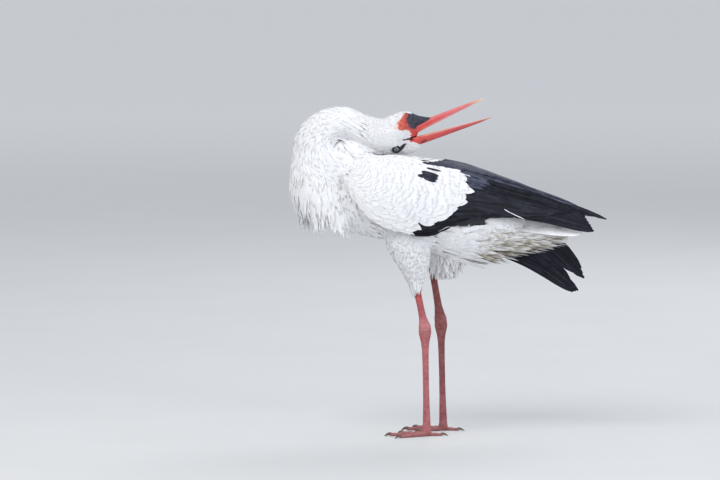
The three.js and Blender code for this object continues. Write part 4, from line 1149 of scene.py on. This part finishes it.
# X at the bib, height.
PLUME_TIPS = [(-270, 412), (-256, 398), (-222, 388), (-197, 396), (-166, 390), (-150, 400)]
LOCKS = 24  # the plumes hang in about this many locks
LOOSE_PLUMES = 0.16
CUFF_TURNS, CUFF_LAYERS = 26, 4
# Long feathers: roots and tips as x and share down the wing's sheet, half width.
TERTIALS = [((20, 0.42), (128, 0.42), 17), ((10, 0.3), (162, 0.38), 17), ((-4, 0.17), (205, 0.26), 17)]
SECONDARIES = [
    ((-66, 0.92), (14, 0.92), 20), ((-36, 0.8), (92, 0.87), 20), ((10, 0.68), (176, 0.8), 20),
    ((36, 0.5), (240, 0.66), 20), ((52, 0.32), (272, 0.4), 20),
]
PRIMARIES = {
    LEFT: [
        ((130, 0.82), (318, 0.92), 12.5), ((124, 0.68), (312, 0.72), 12.5), ((118, 0.52), (304, 0.5), 12.5),
        ((112, 0.34), (298, 0.28), 12.5), ((108, 0.16), (345, 0.12), 8),
    ],
    RIGHT: [
        ((130, 0.84), (336, 0.86), 13), ((124, 0.68), (345, 0.74), 12), ((118, 0.5), (298, 0.52), 13),
        ((112, 0.32), (350, 0.34), 12), ((108, 0.14), (338, 0.16), 13),
    ],
}
# The dark feathers along the back's edge, and the frosted ones over the innermost long feathers, whose bluish
# frosting is partly painted sheen.
EDGE_FEATHERS = [
    ((-28, 0.115), (60, 0.15), 4.2), ((-16, 0.10), (84, 0.13), 5), ((-4, 0.08), (104, 0.10), 5.5),
    ((4, 0.055), (125, 0.07), 5.5), ((12, 0.03), (150, 0.05), 6), ((16, 0.005), (170, 0.03), 6),
    ((34, 0.0), (200, 0.03), 7), ((40, 0.06), (225, 0.06), 7.5), ((60, 0.04), (285, 0.08), 8),
]
FROSTED = [((48, 0.20), (104, 0.24), 6.5), ((52, 0.27), (110, 0.30), 6), ((54, 0.34), (102, 0.36), 5),
    ((56, 0.41), (96, 0.42), 4)]
# Marks on the near wing in the side view: x and z of the root and of the tip, half width.
DARK_SPOTS = [
    (-38, 527, 3, 523, 4.6), (-30, 534, 4, 525, 4.6), (-29, 529, 2, 519, 4.6), (-26, 523, -1, 515, 4.2),
    (-20, 541, 9, 534, 2.4),
]
LIGHT_EDGES = [(136, 461, 150, 453, 0.9), (147, 455, 178, 441, 0.9)]
TAIL_ROOT, TAIL_LENGTH, TAIL_FEATHERS = 92.0, 198.0, 12

white, black = white_feather(), black_feather()


def make_hull():
    """The plumage's outer surface over trunk, neck and wing arms, which the small feathers follow."""
    parts = [limb_mesh(trunk, -2), limb_mesh(mantle, -1), limb_mesh(vent, -2, end=0.8)]
    parts += [limb_mesh(neck, -1, 160, 64), limb_mesh(bib, -2)]
    parts += [limb_mesh(thighs[side], -2, end=0.9) for side in SIDES]
    parts += [wing_pad(side, 8.5, 9, end=90) for side in SIDES]
    return Surface(*remeshed("hull", parts, HULL_VOXEL, 8)[:2])


def neck_heading(points):
    """Down the neck from the bill, round the bend and on to the breast."""
    return -neck.along(neck.nearest_t(points))


def rear_heading(points):
    """Fanned out from the crease, and then straight to the rear."""
    fan = points - CREASE
    fan[:, 1] *= 0.3
    share = smooth(points[:, 0], -190, -105)[:, None]
    return np.array([1.0, 0, -0.08]) * share + unit(fan) * (1 - share)


def picked(keep, *arrays):
    return [array[keep] for array in arrays]


def thinned(points, gap):
    """Which points to keep so that no two are nearer than a gap."""
    tree = KDTree(len(points))
    for i, point in enumerate(points):
        tree.insert(point, i)
    tree.balance()
    kept, free = np.zeros(len(points), bool), np.ones(len(points), bool)
    for i in rng.permutation(len(points)):
        if free[i]:
            kept[i] = True
            free[[j for _, j, _ in tree.find_range(points[i], gap)]] = False
    return kept


def limb_places(limb, points):
    """Each point's t and turn on a limb, and how far it lies off the limb's surface."""
    t = limb.nearest_t(points)
    _, across, through = limb.axes(t)
    away = points - limb.centre(t)
    turn = np.arctan2((away * through).sum(1), (away * across).sum(1))
    return t, turn, np.linalg.norm(away, axis=1) - np.linalg.norm(limb.point(t, turn) - limb.centre(t),
        axis=1)


def on_sheet(side, points):
    """Where points lie on a wing's sheet, found by Newton's steps: x, share down it and height off it."""
    x, v = np.clip(points[:, 0], WING_FRONT, 340), np.full(len(points), 0.5)
    for _ in range(9):
        here = sheet(side, x, v)
        along, down = sheet(side, x + 1, v) - here, (sheet(side, x, v + 0.02) - here) / 0.02
        gap = points - here
        aa, ad, dd = (along**2).sum(1), (along * down).sum(1), (down**2).sum(1)
        ga, gd = (gap * along).sum(1), (gap * down).sum(1)
        x = np.clip(x + (ga * dd - gd * ad) / (aa * dd - ad**2), -186, 345)
        v = np.clip(v + (gd * aa - ga * ad) / (aa * dd - ad**2), -0.4, 1.4)
    here = sheet(side, x, v)
    return x, v, ((points - here) * (sheet(side, x, v, 1.0) - here)).sum(1)


def share_at(side, x, z):
    """The share down a wing's sheet at which it has the height z."""
    v = np.linspace(0, 1, 101)
    return float(np.interp(-z, -sheet(side, np.full(101, x), v)[:, 2], v))


def head_bare(points):
    """How far a place lies inside the head's bare skin, in millimetres. Places far from it give -9."""
    side_view = points[:, [0, 2]]
    x, y, z = points[:, 0], np.abs(points[:, 1]), points[:, 2]
    lores = np.where(y > 5, distance_to(EYE_PATCH, side_view), -9)
    throat = np.where((y > 4.5) | (x > -50), distance_to(THROAT, side_view), -9)
    jaws = np.where((x > -52 + 0.25 * (z - 600)) & (z > 595.5), 5.0, -9)
    return np.maximum.reduce([lores, throat, 1.6 - mouth_gap(side_view), jaws])


def coat_head():
    """Short down over the head and the top of the neck, left out where the skin is bare."""
    coat = Coat()
    for limb, start, left, right in ((neck, 0.5, 0, 0.8), (forehead, 0.0, 0.82, 1)):
        t, turn = rows_on(limb, start, 0.995, 2.4, 2.5)
        place = limb.point(t, turn, -1.4)
        length = 5.8 + 6.5 * smooth(place[:, 0], -62, -100) + 12 * smooth(place[:, 0], -95, -145)
        length = length * rng.uniform(0.85, 1.15, len(t))
        tip = place - limb.along(t) * length[:, None] * 0.9
        clear = np.maximum(head_bare(place), head_bare(tip)) < 0.3
        root_lift = np.full(len(t), -1.9)
        if limb is neck:
            clear &= rng.random(len(t)) < smooth(t, 0.48, 0.6)
            root_lift = root_lift - 1.5 * smooth(t, 0.66, 0.52)
        t, turn, length, root_lift = picked(clear, t, turn, length, root_lift)
        spine, out = flow(limb, t, turn, length, 5, -1, root_lift, 0.25, sway=0.09)
        coat.add(spine, out, 0.5 + length * 0.10, HEAD_DOWN, atlas(t, turn, left, right), length)
    coat.build("head_feathers", white)


def neck_zone(t, reach):
    """Which places of the hull are the neck's, given their t and reach from it."""
    low = np.interp(hull.verts[:, 0], [-230, -190, -120], [470, 590, 575])
    return (np.abs(reach) < 5) & (t > NECK_PART[0]) & (t < NECK_PART[1]) & (hull.verts[:, 2] > low)


def coat_neck():
    """Pointed feathers down the neck, longer towards the breast."""
    coat = Coat()
    t, turn, reach = limb_places(neck, hull.verts)
    roots, t, turn = picked(neck_zone(t, reach), hull.verts, t, turn)
    keep = thinned(roots, 4.4) & (rng.random(len(roots)) < smooth(t, 0.64, 0.54))
    roots, t, turn = picked(keep, roots, t, turn)
    length = (18 + 36 * smooth(t, 0.6, 0.36)) * rng.uniform(0.75, 1.25, len(t))
    spine, out = drape(hull, roots, neck_heading, length, 7, -1.9, 0.4, hug=0.97, spread=2.5)
    coat.add(spine, out, length * 0.055 + 0.8, NECK_FEATHER, atlas(t, turn), length)
    coat.build("neck_feathers", white)


def coat_trunk():
    """The back, the mantle under the neck, the wings' upper edges and the belly."""
    coat = Coat()
    t, _, reach = limb_places(neck, hull.verts)
    x, y, z = hull.verts.T
    keep = ~neck_zone(t, reach) & ~((t > 0.5) & (z > 577)) & (x < 185) & ~((x < -205) & (z < 560))
    t, turn, _ = limb_places(trunk, hull.verts)
    length = rng.uniform(28, 44, len(t))
    for side in SIDES:
        along, down, lift = on_sheet(side, hull.verts)
        here = y * side > 0
        front = (down > 0.04) & (down < 0.97) & (lift > 0) & (along > -184) & (along <= -52)
        rear = (down > 0.04) & (down < 1.06
            + 0.12 * (along < 45)) & (lift > -5) & (along > -52) & (along < 96)
        edge = (down > -0.1) & (down < 0.12) & (np.abs(lift) < 8) & (along > -4)
        keep &= ~((front | rear | edge) & here)
        # Feathers in front of the black ones end before them.
        top = (down < 0.12) & (np.abs(lift) < 12) & here & (x < 40)
        below = (down > 0.85) & (lift > -6) & here & (along < -40)
        length = np.where(top, np.minimum(length, np.maximum(8, 6 - x)), length)
        length = np.where(below, np.minimum(length, np.maximum(8, -48 - along)), length)
    roots, t, turn, length = picked(keep, hull.verts, t, turn, length)
    roots, t, turn, length = picked(thinned(roots, 7.5), roots, t, turn, length)
    spine, out = drape(hull, roots, rear_heading, length, 7, -2.3, 0.45, hug=0.96, spread=4.0)
    x, y, z = roots.T
    # Roots by the crease are tucked under the neck.
    crease = smooth(x, -95, -120) * smooth(x, -205, -180) * smooth(z, 535, 550)
    spine[:, 0] -= (unit(spine[:, 1] - spine[:, 0]) * 7 - out[:, 0] * 0.8) * crease[:, None]
    # Browner towards the rear and lower down.
    tone_amount = smooth(x, 50, 90) * smooth(z, 424, 412) * rng.uniform(0.3, 1.2, len(t))
    coat.add(spine, out, length * 0.13 + 0.8, BODY_FEATHER, atlas(t, turn), length, tone_amount)
    coat.build("body_feathers", white)


def hang(t, turn, length, rings, lock, loose):
    """Plumes that hang from the bib: each lies on it where it swells outwards and falls straight from there.
    Their tips gather towards the turn that lock gives. The loose ones fall straight from the widest place."""
    rows = np.array(BIB, float)[::-1]
    place = bib.point(t, turn, -5.0)
    lean = np.radians(np.interp(place[:, 0], [-300, -250, -170], [-2, 3, 15]) + rng.normal(0, 2.0, len(t)))
    drift = np.radians(rng.normal(0, 2.5, len(t)))
    fall = np.stack([np.sin(lean), np.sin(drift), -np.cos(lean)], -1) * (length / (rings - 1))[:, None]
    spine, outs = [], []
    for i in range(rings):
        share, next_share = i / (rings - 1), (i + 1) / (rings - 1)
        height = place[:, 2]
        centre, wide, deep = (np.interp(height, rows[:, 2], rows[:, k]) for k in (0, 3, 4))
        x, y = place[:, 0] - centre, place[:, 1]
        spine.append(place)
        outs.append(unit(np.stack([x, y, np.zeros(len(t))], -1)))
        lift = -5.0 + 6.0 * share**0.6
        reach = np.hypot(x / (deep + lift), y / (wide + lift))
        swell = np.where((reach < 1) & (height > 480), 1 / np.maximum(reach, 0.5), 1)
        hug = np.where(loose, 0.0, 0.5) * smooth(height, 436, 456)
        swell = np.where(reach > 1, 1 - hug * (1 - 1 / reach), swell)
        pull = (lock - turn) * 0.8 * (next_share**2 - share**2)
        x, y = x * np.cos(pull) - y * np.sin(pull), x * np.sin(pull) + y * np.cos(pull)
        place = np.stack([centre + x * swell, y * swell, height], -1) + fall
    return np.stack(spine, 1), np.stack(outs, 1)


def coat_bib():
    """Long pointed plumes that hang from the bend of the neck. Each row lies over the next one down."""
    coat = Coat()
    t, turn = rows_on(bib, 0.0, 0.9, 7.5, 5.6, -0.06 * math.pi)
    place = bib.point(t, turn)
    edges = np.cumsum(rng.uniform(0.6, 1.4, LOCKS + 2))
    edges = edges / (edges[-2] - edges[0]) * 2 * math.pi - 0.25
    number = np.clip(np.searchsorted(edges, turn) - 1, 0, LOCKS)
    lock = (edges[number] + edges[number + 1]) / 2
    off = np.abs(turn - lock) / (edges[number + 1] - edges[number]) * 2
    short = rng.uniform(0, 36, LOCKS + 1)[number]
    rim = bib.point(np.full(len(t), 0.84), turn)
    limit = np.interp(rim[:, 0], *np.array(PLUME_TIPS).T) + short + 38 * off + rng.exponential(4.0, len(t))
    longest = rng.uniform(90, 145, LOCKS + 1)[number] - 25 * off + rng.uniform(-20, 10, len(t))
    length = np.minimum(place[:, 2] - limit, longest)
    under = bib.point(t, turn, -2)
    near, normal = hull.nearest(under)
    keep = (length > 34) & (((under - near) * normal).sum(1) > -16)
    t, turn, length, lock, place = picked(keep, t, turn, length, lock, place)
    loose = rng.random(len(t)) < LOOSE_PLUMES
    shorter = np.minimum(rng.uniform(62, 92, len(t)), np.maximum(place[:, 2] - 500, 30))
    length = np.where(loose & (place[:, 0] < -270), np.minimum(length, shorter), length)
    spine, out = hang(t, turn, length, 10, lock, loose)
    # Painted shade: on the near side, the plumes on the bib's rear, against the body, get a brown tone.
    shaded = (spine[:, 0, 0] > -175) & (spine[:, 0, 1] < 0)
    tone_amount = np.where(shaded, rng.choice([0.0, 0.5, 0.8], len(t)), 0.0)
    half = length * 0.046 * rng.uniform(0.7, 1.3, len(t)) + 1.2
    coat.add(spine, out, half, PLUME, atlas(t, turn), length, tone_amount)
    coat.build("breast_plumes", white)


def rays(start, way, length, normal, rings):
    """Straight spines of a length and a direction, and their directions outwards, square to them."""
    share = np.linspace(0, 1, rings)[None, :, None]
    out = unit(normal - way * (normal * way).sum(1, keepdims=True))
    return start[:, None] + way[:, None] * length[:, None, None] * share, np.repeat(out[:, None], rings,
        axis=1)


def coat_thigh(side):
    """Feathers down the thigh, and a ragged cuff round the top of the shin."""
    coat = Coat()
    t, turn = rows_on(thighs[side], 0.02, 0.86, 5.5, 4.6)
    length = (15 + 19 * smooth(t, 0.9, 0.3)) * rng.uniform(0.8, 1.2, len(t))
    spine, out = flow(thighs[side], t, turn, length, 6, 1, -2.6 * smooth(t, 1.0, 0.6) - 0.4, 0.5, sway=0.09)
    coat.add(spine, out, length * 0.13, THIGH_FEATHER, atlas(t, turn, 0, 0.9), length, 0.02)
    knee, ankle, _ = (mirrored(p, side) for p in LEG[side])
    down = unit(ankle - knee)
    count = CUFF_TURNS * CUFF_LAYERS
    turn = np.repeat(np.arange(CUFF_TURNS) / CUFF_TURNS, CUFF_LAYERS) * 2 * math.pi + rng.normal(0, 0.1,
        count)
    round_ = np.column_stack([np.cos(turn), np.sin(turn), np.zeros(count)])
    end = THIGH[side][-2][2] + np.interp(np.cos(turn), [-1, 1], [-14, 2]) + rng.uniform(-8, 6, count)
    length = rng.uniform(20, 32, count)
    tip = knee + down * ((knee[2] - end) / -down[2])[:, None] + round_ * rng.uniform(7.8, 11.5, count)[:,
        None]
    root = tip - down * length[:, None] + round_ * (2.0 + 0.10 * length)[:, None]
    spine, out = straight(root, tip, round_, 6)
    coat.add(spine, out, length * 0.10, CUFF_FEATHER, atlas(np.full(count, 0.95), turn), length, 0.02)
    coat.build(f"{SIDES[side]}_thigh_feathers", white)


def lay(side, roots, tips, lift_root, lift_tip, rings):
    """Spines on the wing's sheet from roots to tips, given as x and share down the sheet."""
    share = np.linspace(0, 1, rings)[None, :]
    x, v = (roots[:, k : k + 1] + (tips[:, k : k + 1] - roots[:, k : k + 1]) * share for k in (0, 1))
    lift = np.reshape(lift_root, (-1, 1)) * (1 - share) + np.reshape(lift_tip, (-1, 1)) * share
    spine = sheet(side, x, v, lift)
    return spine, unit(sheet(side, x, v, lift + 1) - spine)


def marks(rows):
    """Marks of the near wing's side view as places on its sheet: x and share of root and tip, half width."""
    return np.array([(x, share_at(LEFT, x, z), end, share_at(LEFT, end, low), half) for x, z, end, low,
        half in rows])


def coat_wing(side):
    """The white coverts: small at the bend of the wing, larger towards the black flight feathers."""
    coat = Coat()
    roots, tips, sizes = [], [], []

    def place(x, v, length, slope):
        tips.append((x, v))
        roots.append((x - length * math.cos(slope),
            v - length * math.sin(slope) / float(sheet_width(side, x))))
        sizes.append(length)

    x = -176.0
    while x < 80:
        gap = 6.5 + 4.5 * float(smooth(x, -160, 0))
        number = int(float(sheet_width(side, x)) / (gap * 0.8)) + 1
        for k in range(number):
            v = (k + rng.uniform(0.2, 0.8)) / number
            start = x + rng.uniform(-0.5, 0.5) * gap
            seen = sheet(side, np.array([start]), np.array([v]), placed=False)[:, [0, 2]]
            if distance_to(COVERT_OUTLINE, seen)[0] < 1.0:
                continue
            fan = math.degrees(math.atan2(CREASE[2] - seen[0, 1], start - CREASE[0]))
            base = 3 + 24 * v * float(smooth(start, 60, -60))
            share = float(smooth(start, -180, -105))
            slope = math.radians(fan * (1 - share) + base * share + rng.normal(0, 3.5))
            place(start, v, gap * 3.8 * rng.uniform(0.85, 1.15), slope)
        x += gap
    inner = len(sizes)
    for x, z in COVERT_TEETH:
        v = share_at(LEFT, x, z)
        place(x, v, 38, math.radians(4 + 30 * v * float(smooth(x, 60, -60))))
    roots, tips, sizes = np.array(roots), np.array(tips), np.array(sizes)
    width = sheet_width(side, tips[:, 0])
    roots[:, 1] = np.clip(roots[:, 1], 4 / width, 1 - 4 / width)
    to_edge = np.minimum(tips[:, 1], 1 - tips[:, 1]) * width
    half = np.minimum(sizes * 0.30 * rng.uniform(0.9, 1.1, len(sizes)), to_edge + 3)
    high = pad_height(tips[:, 0], tips[:, 1]) + rng.uniform(-0.2, 0.4, len(sizes))
    spine, out = lay(side, roots, tips, pad_height(roots[:, 0], roots[:, 1]) - 1.7, high, 7)
    places = np.column_stack([(roots[:, 0] + 230) / 330, roots[:, 1] * 0.86 + 0.07])
    for part, kind, share in ((slice(0, inner), COVERT, 1), (slice(inner, None), COVERT_TOOTH, 0.8)):
        coat.add(spine[part], out[part], half[part] * share, kind, places[part], sizes[part], slim=False)
    if side == LEFT:
        table = marks(LIGHT_EDGES)
        spine, out = lay(side, table[:, 0:2], table[:, 2:4], 9.5, 8.5, 7)
        coat.add(spine, out, table[:, 4], LIGHT_EDGE, np.full((len(table), 2), 0.97), 40, 0.1, slim=False)
    coat.build(f"{SIDES[side]}_covert_feathers", white)


def table_of(feathers):
    return np.array([(*root, *tip, half) for root, tip, half in feathers], float)


def filled(feathers, count):
    """A row of feathers between those of a table, from the lowest to the highest."""
    table = table_of(feathers)
    index = np.linspace(0, len(table) - 1, count)
    return np.stack([np.interp(index, np.arange(len(table)), column) for column in table.T], -1)


def flight(side):
    """Primaries, secondaries and the long innermost feathers, each row over the one before it.
    Over them lie the back's edge, the frosted feathers and the dark marks between the coverts."""
    coat = Coat()
    # The bloom is a bluish frosting, partly painted sheen; the upper rows get the most of it.
    rows = (  # feathers, lift at root and tip, bloom
        (filled(PRIMARIES[side], 9), 0.0, 0.9, 0.35),
        (filled(SECONDARIES, 15), 2.4, 2.0, 0.35),
        (filled(TERTIALS, 6), 4.6, 4.2, 1.3),
    )
    total = sum(len(row[0]) for row in rows) + 1
    strip = (0.9, 0.85 / total)
    done = 0
    for table, low, high, bloom_and_sheen in rows:
        n = len(table)
        rise = np.arange(n) * 0.34
        spine, out = lay(side, table[:, 0:2], table[:, 2:4], low + rise, high + rise, 18)
        length = np.linalg.norm(spine[:, -1] - spine[:, 0], axis=1)
        places = np.column_stack([np.full(n, 0.5), (np.arange(n) + done + 0.5) / total])
        blooms_and_sheen = bloom_and_sheen * rng.uniform(0.5, 1.0, n)
        coat.add(spine, out, table[:, 4] * 0.92, WING_QUILL, places, length, blooms_and_sheen, patch=strip,
            skew=0.18, slim=False)
        done += n
    edge, frosted, spots = table_of(EDGE_FEATHERS), table_of(FROSTED), marks(DARK_SPOTS)
    # Feathers, kind, lift at root and tip, rings, place on the bake's sheet and patch there, length, bloom: a
    # bluish frosting that is partly painted sheen.
    layers = (
        (edge, BACK_EDGE_FEATHER, pad_height(edge[:, 0], edge[:, 1]) + 1.5, 8.2, 14, 0.5, strip, None, 1.3),
        (frosted, FROSTED_FEATHER, 8.0, 7.4, 10, 0.7, ROOT_PATCH, 55, 2.2),
        (spots, SPOT_FEATHER, pad_height(spots[:, 0], spots[:, 1]) + 1.0,
            pad_height(spots[:, 2], spots[:, 3]) + 1.5,
         8, 0.9, ROOT_PATCH, 30, 0.7),
    )
    for table, kind, low, high, rings, place, patch, length, bloom_and_sheen in layers:
        spine, out = lay(side, table[:, 0:2], table[:, 2:4], low, high, rings)
        length = length or np.linalg.norm(spine[:, -1] - spine[:, 0], axis=1)
        places = np.full((len(table), 2), place)
        coat.add(spine, out, table[:, 4], kind, places, length, bloom_and_sheen, patch=patch, slim=False)
    nodes = [f"{SIDES[side]}_{row}" for row in ("scapulars", "secondaries", "primaries")]
    coat.build(f"{SIDES[side]}_flight_feathers", black, nodes)


def coat_tail():
    """A nearly closed fan, with one more feather folded down over each of its edges."""
    coat = Coat()
    n, rings = TAIL_FEATHERS, 14
    arch = np.sin(math.pi * np.linspace(0, 1, rings))
    strip = (0.9, 0.8 / n)
    share = np.linspace(-1, 1, n)
    share = share[np.argsort(-np.abs(share), kind="stable")]
    sink = 9 * np.abs(share)
    start = np.column_stack([np.full(n, TAIL_ROOT), share * 15, 437 - sink * 0.4])
    reach = TAIL_LENGTH * (1 + 0.02 * share**2)
    end = np.column_stack([TAIL_ROOT + reach, start[:, 1] + np.sin(np.radians(6 * share)) * TAIL_LENGTH,
        420 - sink])
    spine, out = straight(start, end, unit(np.array([0.05, 0, 1.0]) + 0.55 * ACROSS * share[:, None]), rings)
    spine[..., 2] += 1.2 * arch + (np.arange(n) * 0.22)[:, None]
    places = np.column_stack([np.full(n, 0.5), (np.arange(n) + 0.5) / n])
    coat.add(spine, out, 17.5, TAIL_QUILL, places, TAIL_LENGTH, spread=0.3, patch=strip, slim=False)
    start, end = (np.array([(x, side * y, z) for side in SIDES]) for x, y,
        z in ((TAIL_ROOT, 25, 431.0), (296.0, 21, 411.0)))
    spine, out = straight(start, end, unit(0.55 * UP + ACROSS * np.array([[side] for side in SIDES])), rings)
    spine[..., 2] += 5.0 * arch
    places = np.array([[0.5, 0.03], [0.5, 0.97]])
    coat.add(spine, out, 13.0, OUTER_TAIL_QUILL, places, TAIL_LENGTH, spread=0.2, patch=strip, slim=False)
    coat.build("tail_feathers", white, ["tail"])


def coat_undertail():
    """The loose feathers behind the legs and under the tail, browner towards the rear and on their lower
    side.
    """
    coat = Coat()
    layers = rows_on(undertail, 0.0, 0.78, 7.5, 6.5), rows_on(undertail, 0.3, 0.9, 8.0, 5.0)
    t, turn = np.hstack(layers)
    depth = np.repeat([5.0, 13.0], [len(layer[0]) for layer in layers])
    start = undertail.point(t, turn, -depth)
    length = np.minimum(rng.uniform(52, 90, len(t)), 268 - start[:, 0])
    below = smooth(np.sin(turn), 0.35, -0.6)
    normal = unit(undertail.point(t, turn, 1.0) - undertail.point(t, turn, 0.0))
    rise = 0.03 + below * rng.uniform(-0.02, 0.10, len(t))
    droop = below * (0.12 - 0.14 * smooth(t, 0.0, 0.5))
    way = undertail.along(t) + normal * rise[:, None] - UP * droop[:, None]
    spine, out = rays(start, unit(way + rng.normal(0, 0.05, (len(t), 3))), length, normal, 7)
    spine[..., 2] -= 6.0 * np.linspace(0, 1, 7) ** 2 * (below * rng.uniform(-0.4, 1.2, len(t)))[:, None]
    tone_amount = smooth(start[:, 0], 18, 60) * (0.6 + 0.6 * below) * rng.uniform(0.3, 1.4, len(t))
    half = length * 0.075 * rng.uniform(0.7, 1.3, len(t)) + 1.0
    coat.add(spine, out, half, UNDERTAIL_FEATHER, atlas(t, turn, 0, 0.62), length, tone_amount)
    t, turn = rows_on(vent, 0.0, 0.9, 6.0, 5.5)
    length = rng.uniform(28, 46, len(t))
    start = vent.point(t, turn, -4.0)
    length = np.minimum(length, start[:, 2] - 312)
    t, turn, start, length = picked(length > 12, t, turn, start, length)
    normal = unit(vent.point(t, turn, 1.0) - start)
    way = np.column_stack([rng.normal(0.25, 0.16, len(t)), rng.normal(0, 0.1, len(t)), np.full(len(t), -1.0)])
    spine, out = rays(start, unit(way + normal * 0.12), length, normal, 7)
    coat.add(spine, out, length * 0.12, VENT_FEATHER, atlas(t, turn, 0.66, 1), length, 0.12)
    coat.build("undertail_feathers", white, ["undertail_coverts"])


# ---------------------------------------------------------------- stage, light and camera

TARGET = Vector(metres((-154.3, 0, 395.3)))
DISTANCE = 8.12
ELEVATION = math.radians(5)
FLOOR_RADIUS = 60


def make_floor():
    mesh = bpy.data.meshes.new("floor")
    turns = np.linspace(0, FULL_TURN, 96, endpoint=False)
    mesh.from_pydata([(FLOOR_RADIUS * math.cos(a), FLOOR_RADIUS * math.sin(a), 0) for a in turns], [],
        [range(96)])
    mesh.materials.append(studio_floor())
    floor = bpy.data.objects.new("floor", mesh)
    bpy.context.scene.collection.objects.link(floor)


def make_world():
    world = bpy.data.worlds.new("studio")
    world.use_nodes = True
    background = world.node_tree.nodes["Background"]
    background.inputs["Color"].default_value = (0.86, 0.90, 0.96, 1)
    background.inputs["Strength"].default_value = 0.70
    bpy.context.scene.world = world


def aimed(name, data, place):
    """A lamp or camera at a place beside the target, turned towards it."""
    thing = bpy.data.objects.new(name, data)
    thing.location = TARGET + Vector(place)
    thing.rotation_euler = (-Vector(place)).to_track_quat("-Z", "Y").to_euler()
    bpy.context.scene.collection.objects.link(thing)
    return thing


def lamp(name, place, size, energy, colour):
    light = bpy.data.lights.new(name, "AREA")
    light.shape, light.size, light.energy, light.color = "DISK", size, energy, colour
    aimed(name, light, place)


def make_camera():
    lens = bpy.data.cameras.new("camera")
    lens.lens, lens.sensor_width = 200, 36
    place = DISTANCE * Vector((0, -math.cos(ELEVATION), math.sin(ELEVATION)))
    bpy.context.scene.camera = aimed("camera", lens, place)
    bpy.context.scene.view_settings.view_transform = "Standard"


# ---------------------------------------------------------------- everything, in the order of its
# random draws

make_skin()
eye_material, bill_material, claw_material = eye_glass(), bill_horn(), claw_horn()
for side in SIDES:
    make_eye(side, eye_material)
make_mandible("upper_bill", UPPER_BILL, UPPER_TONES, UPPER_RIDGE_SHADE, bill_material)
make_mandible("lower_bill", LOWER_BILL, LOWER_TONES, LOWER_RIDGE_PALE_AND_HIGHLIGHT, bill_material)
for side in SIDES:
    make_claws(side, claw_material)

hull = make_hull()
for coat_part in (coat_head, coat_neck, coat_trunk, coat_bib, coat_tail, coat_undertail):
    coat_part()
for side in SIDES:
    coat_thigh(side)
    coat_wing(side)
    flight(side)

make_floor()
make_world()
lamp("key", (-1.6, -2.2, 3.4), 2.4, 86, (1.0, 0.98, 0.95))
lamp("fill", (2.6, -3.0, 1.2), 3.0, 56, (0.93, 0.96, 1.0))
lamp("back", (1.5, 3.0, 3.0), 2.4, 60, (0.96, 0.98, 1.0))
make_camera()
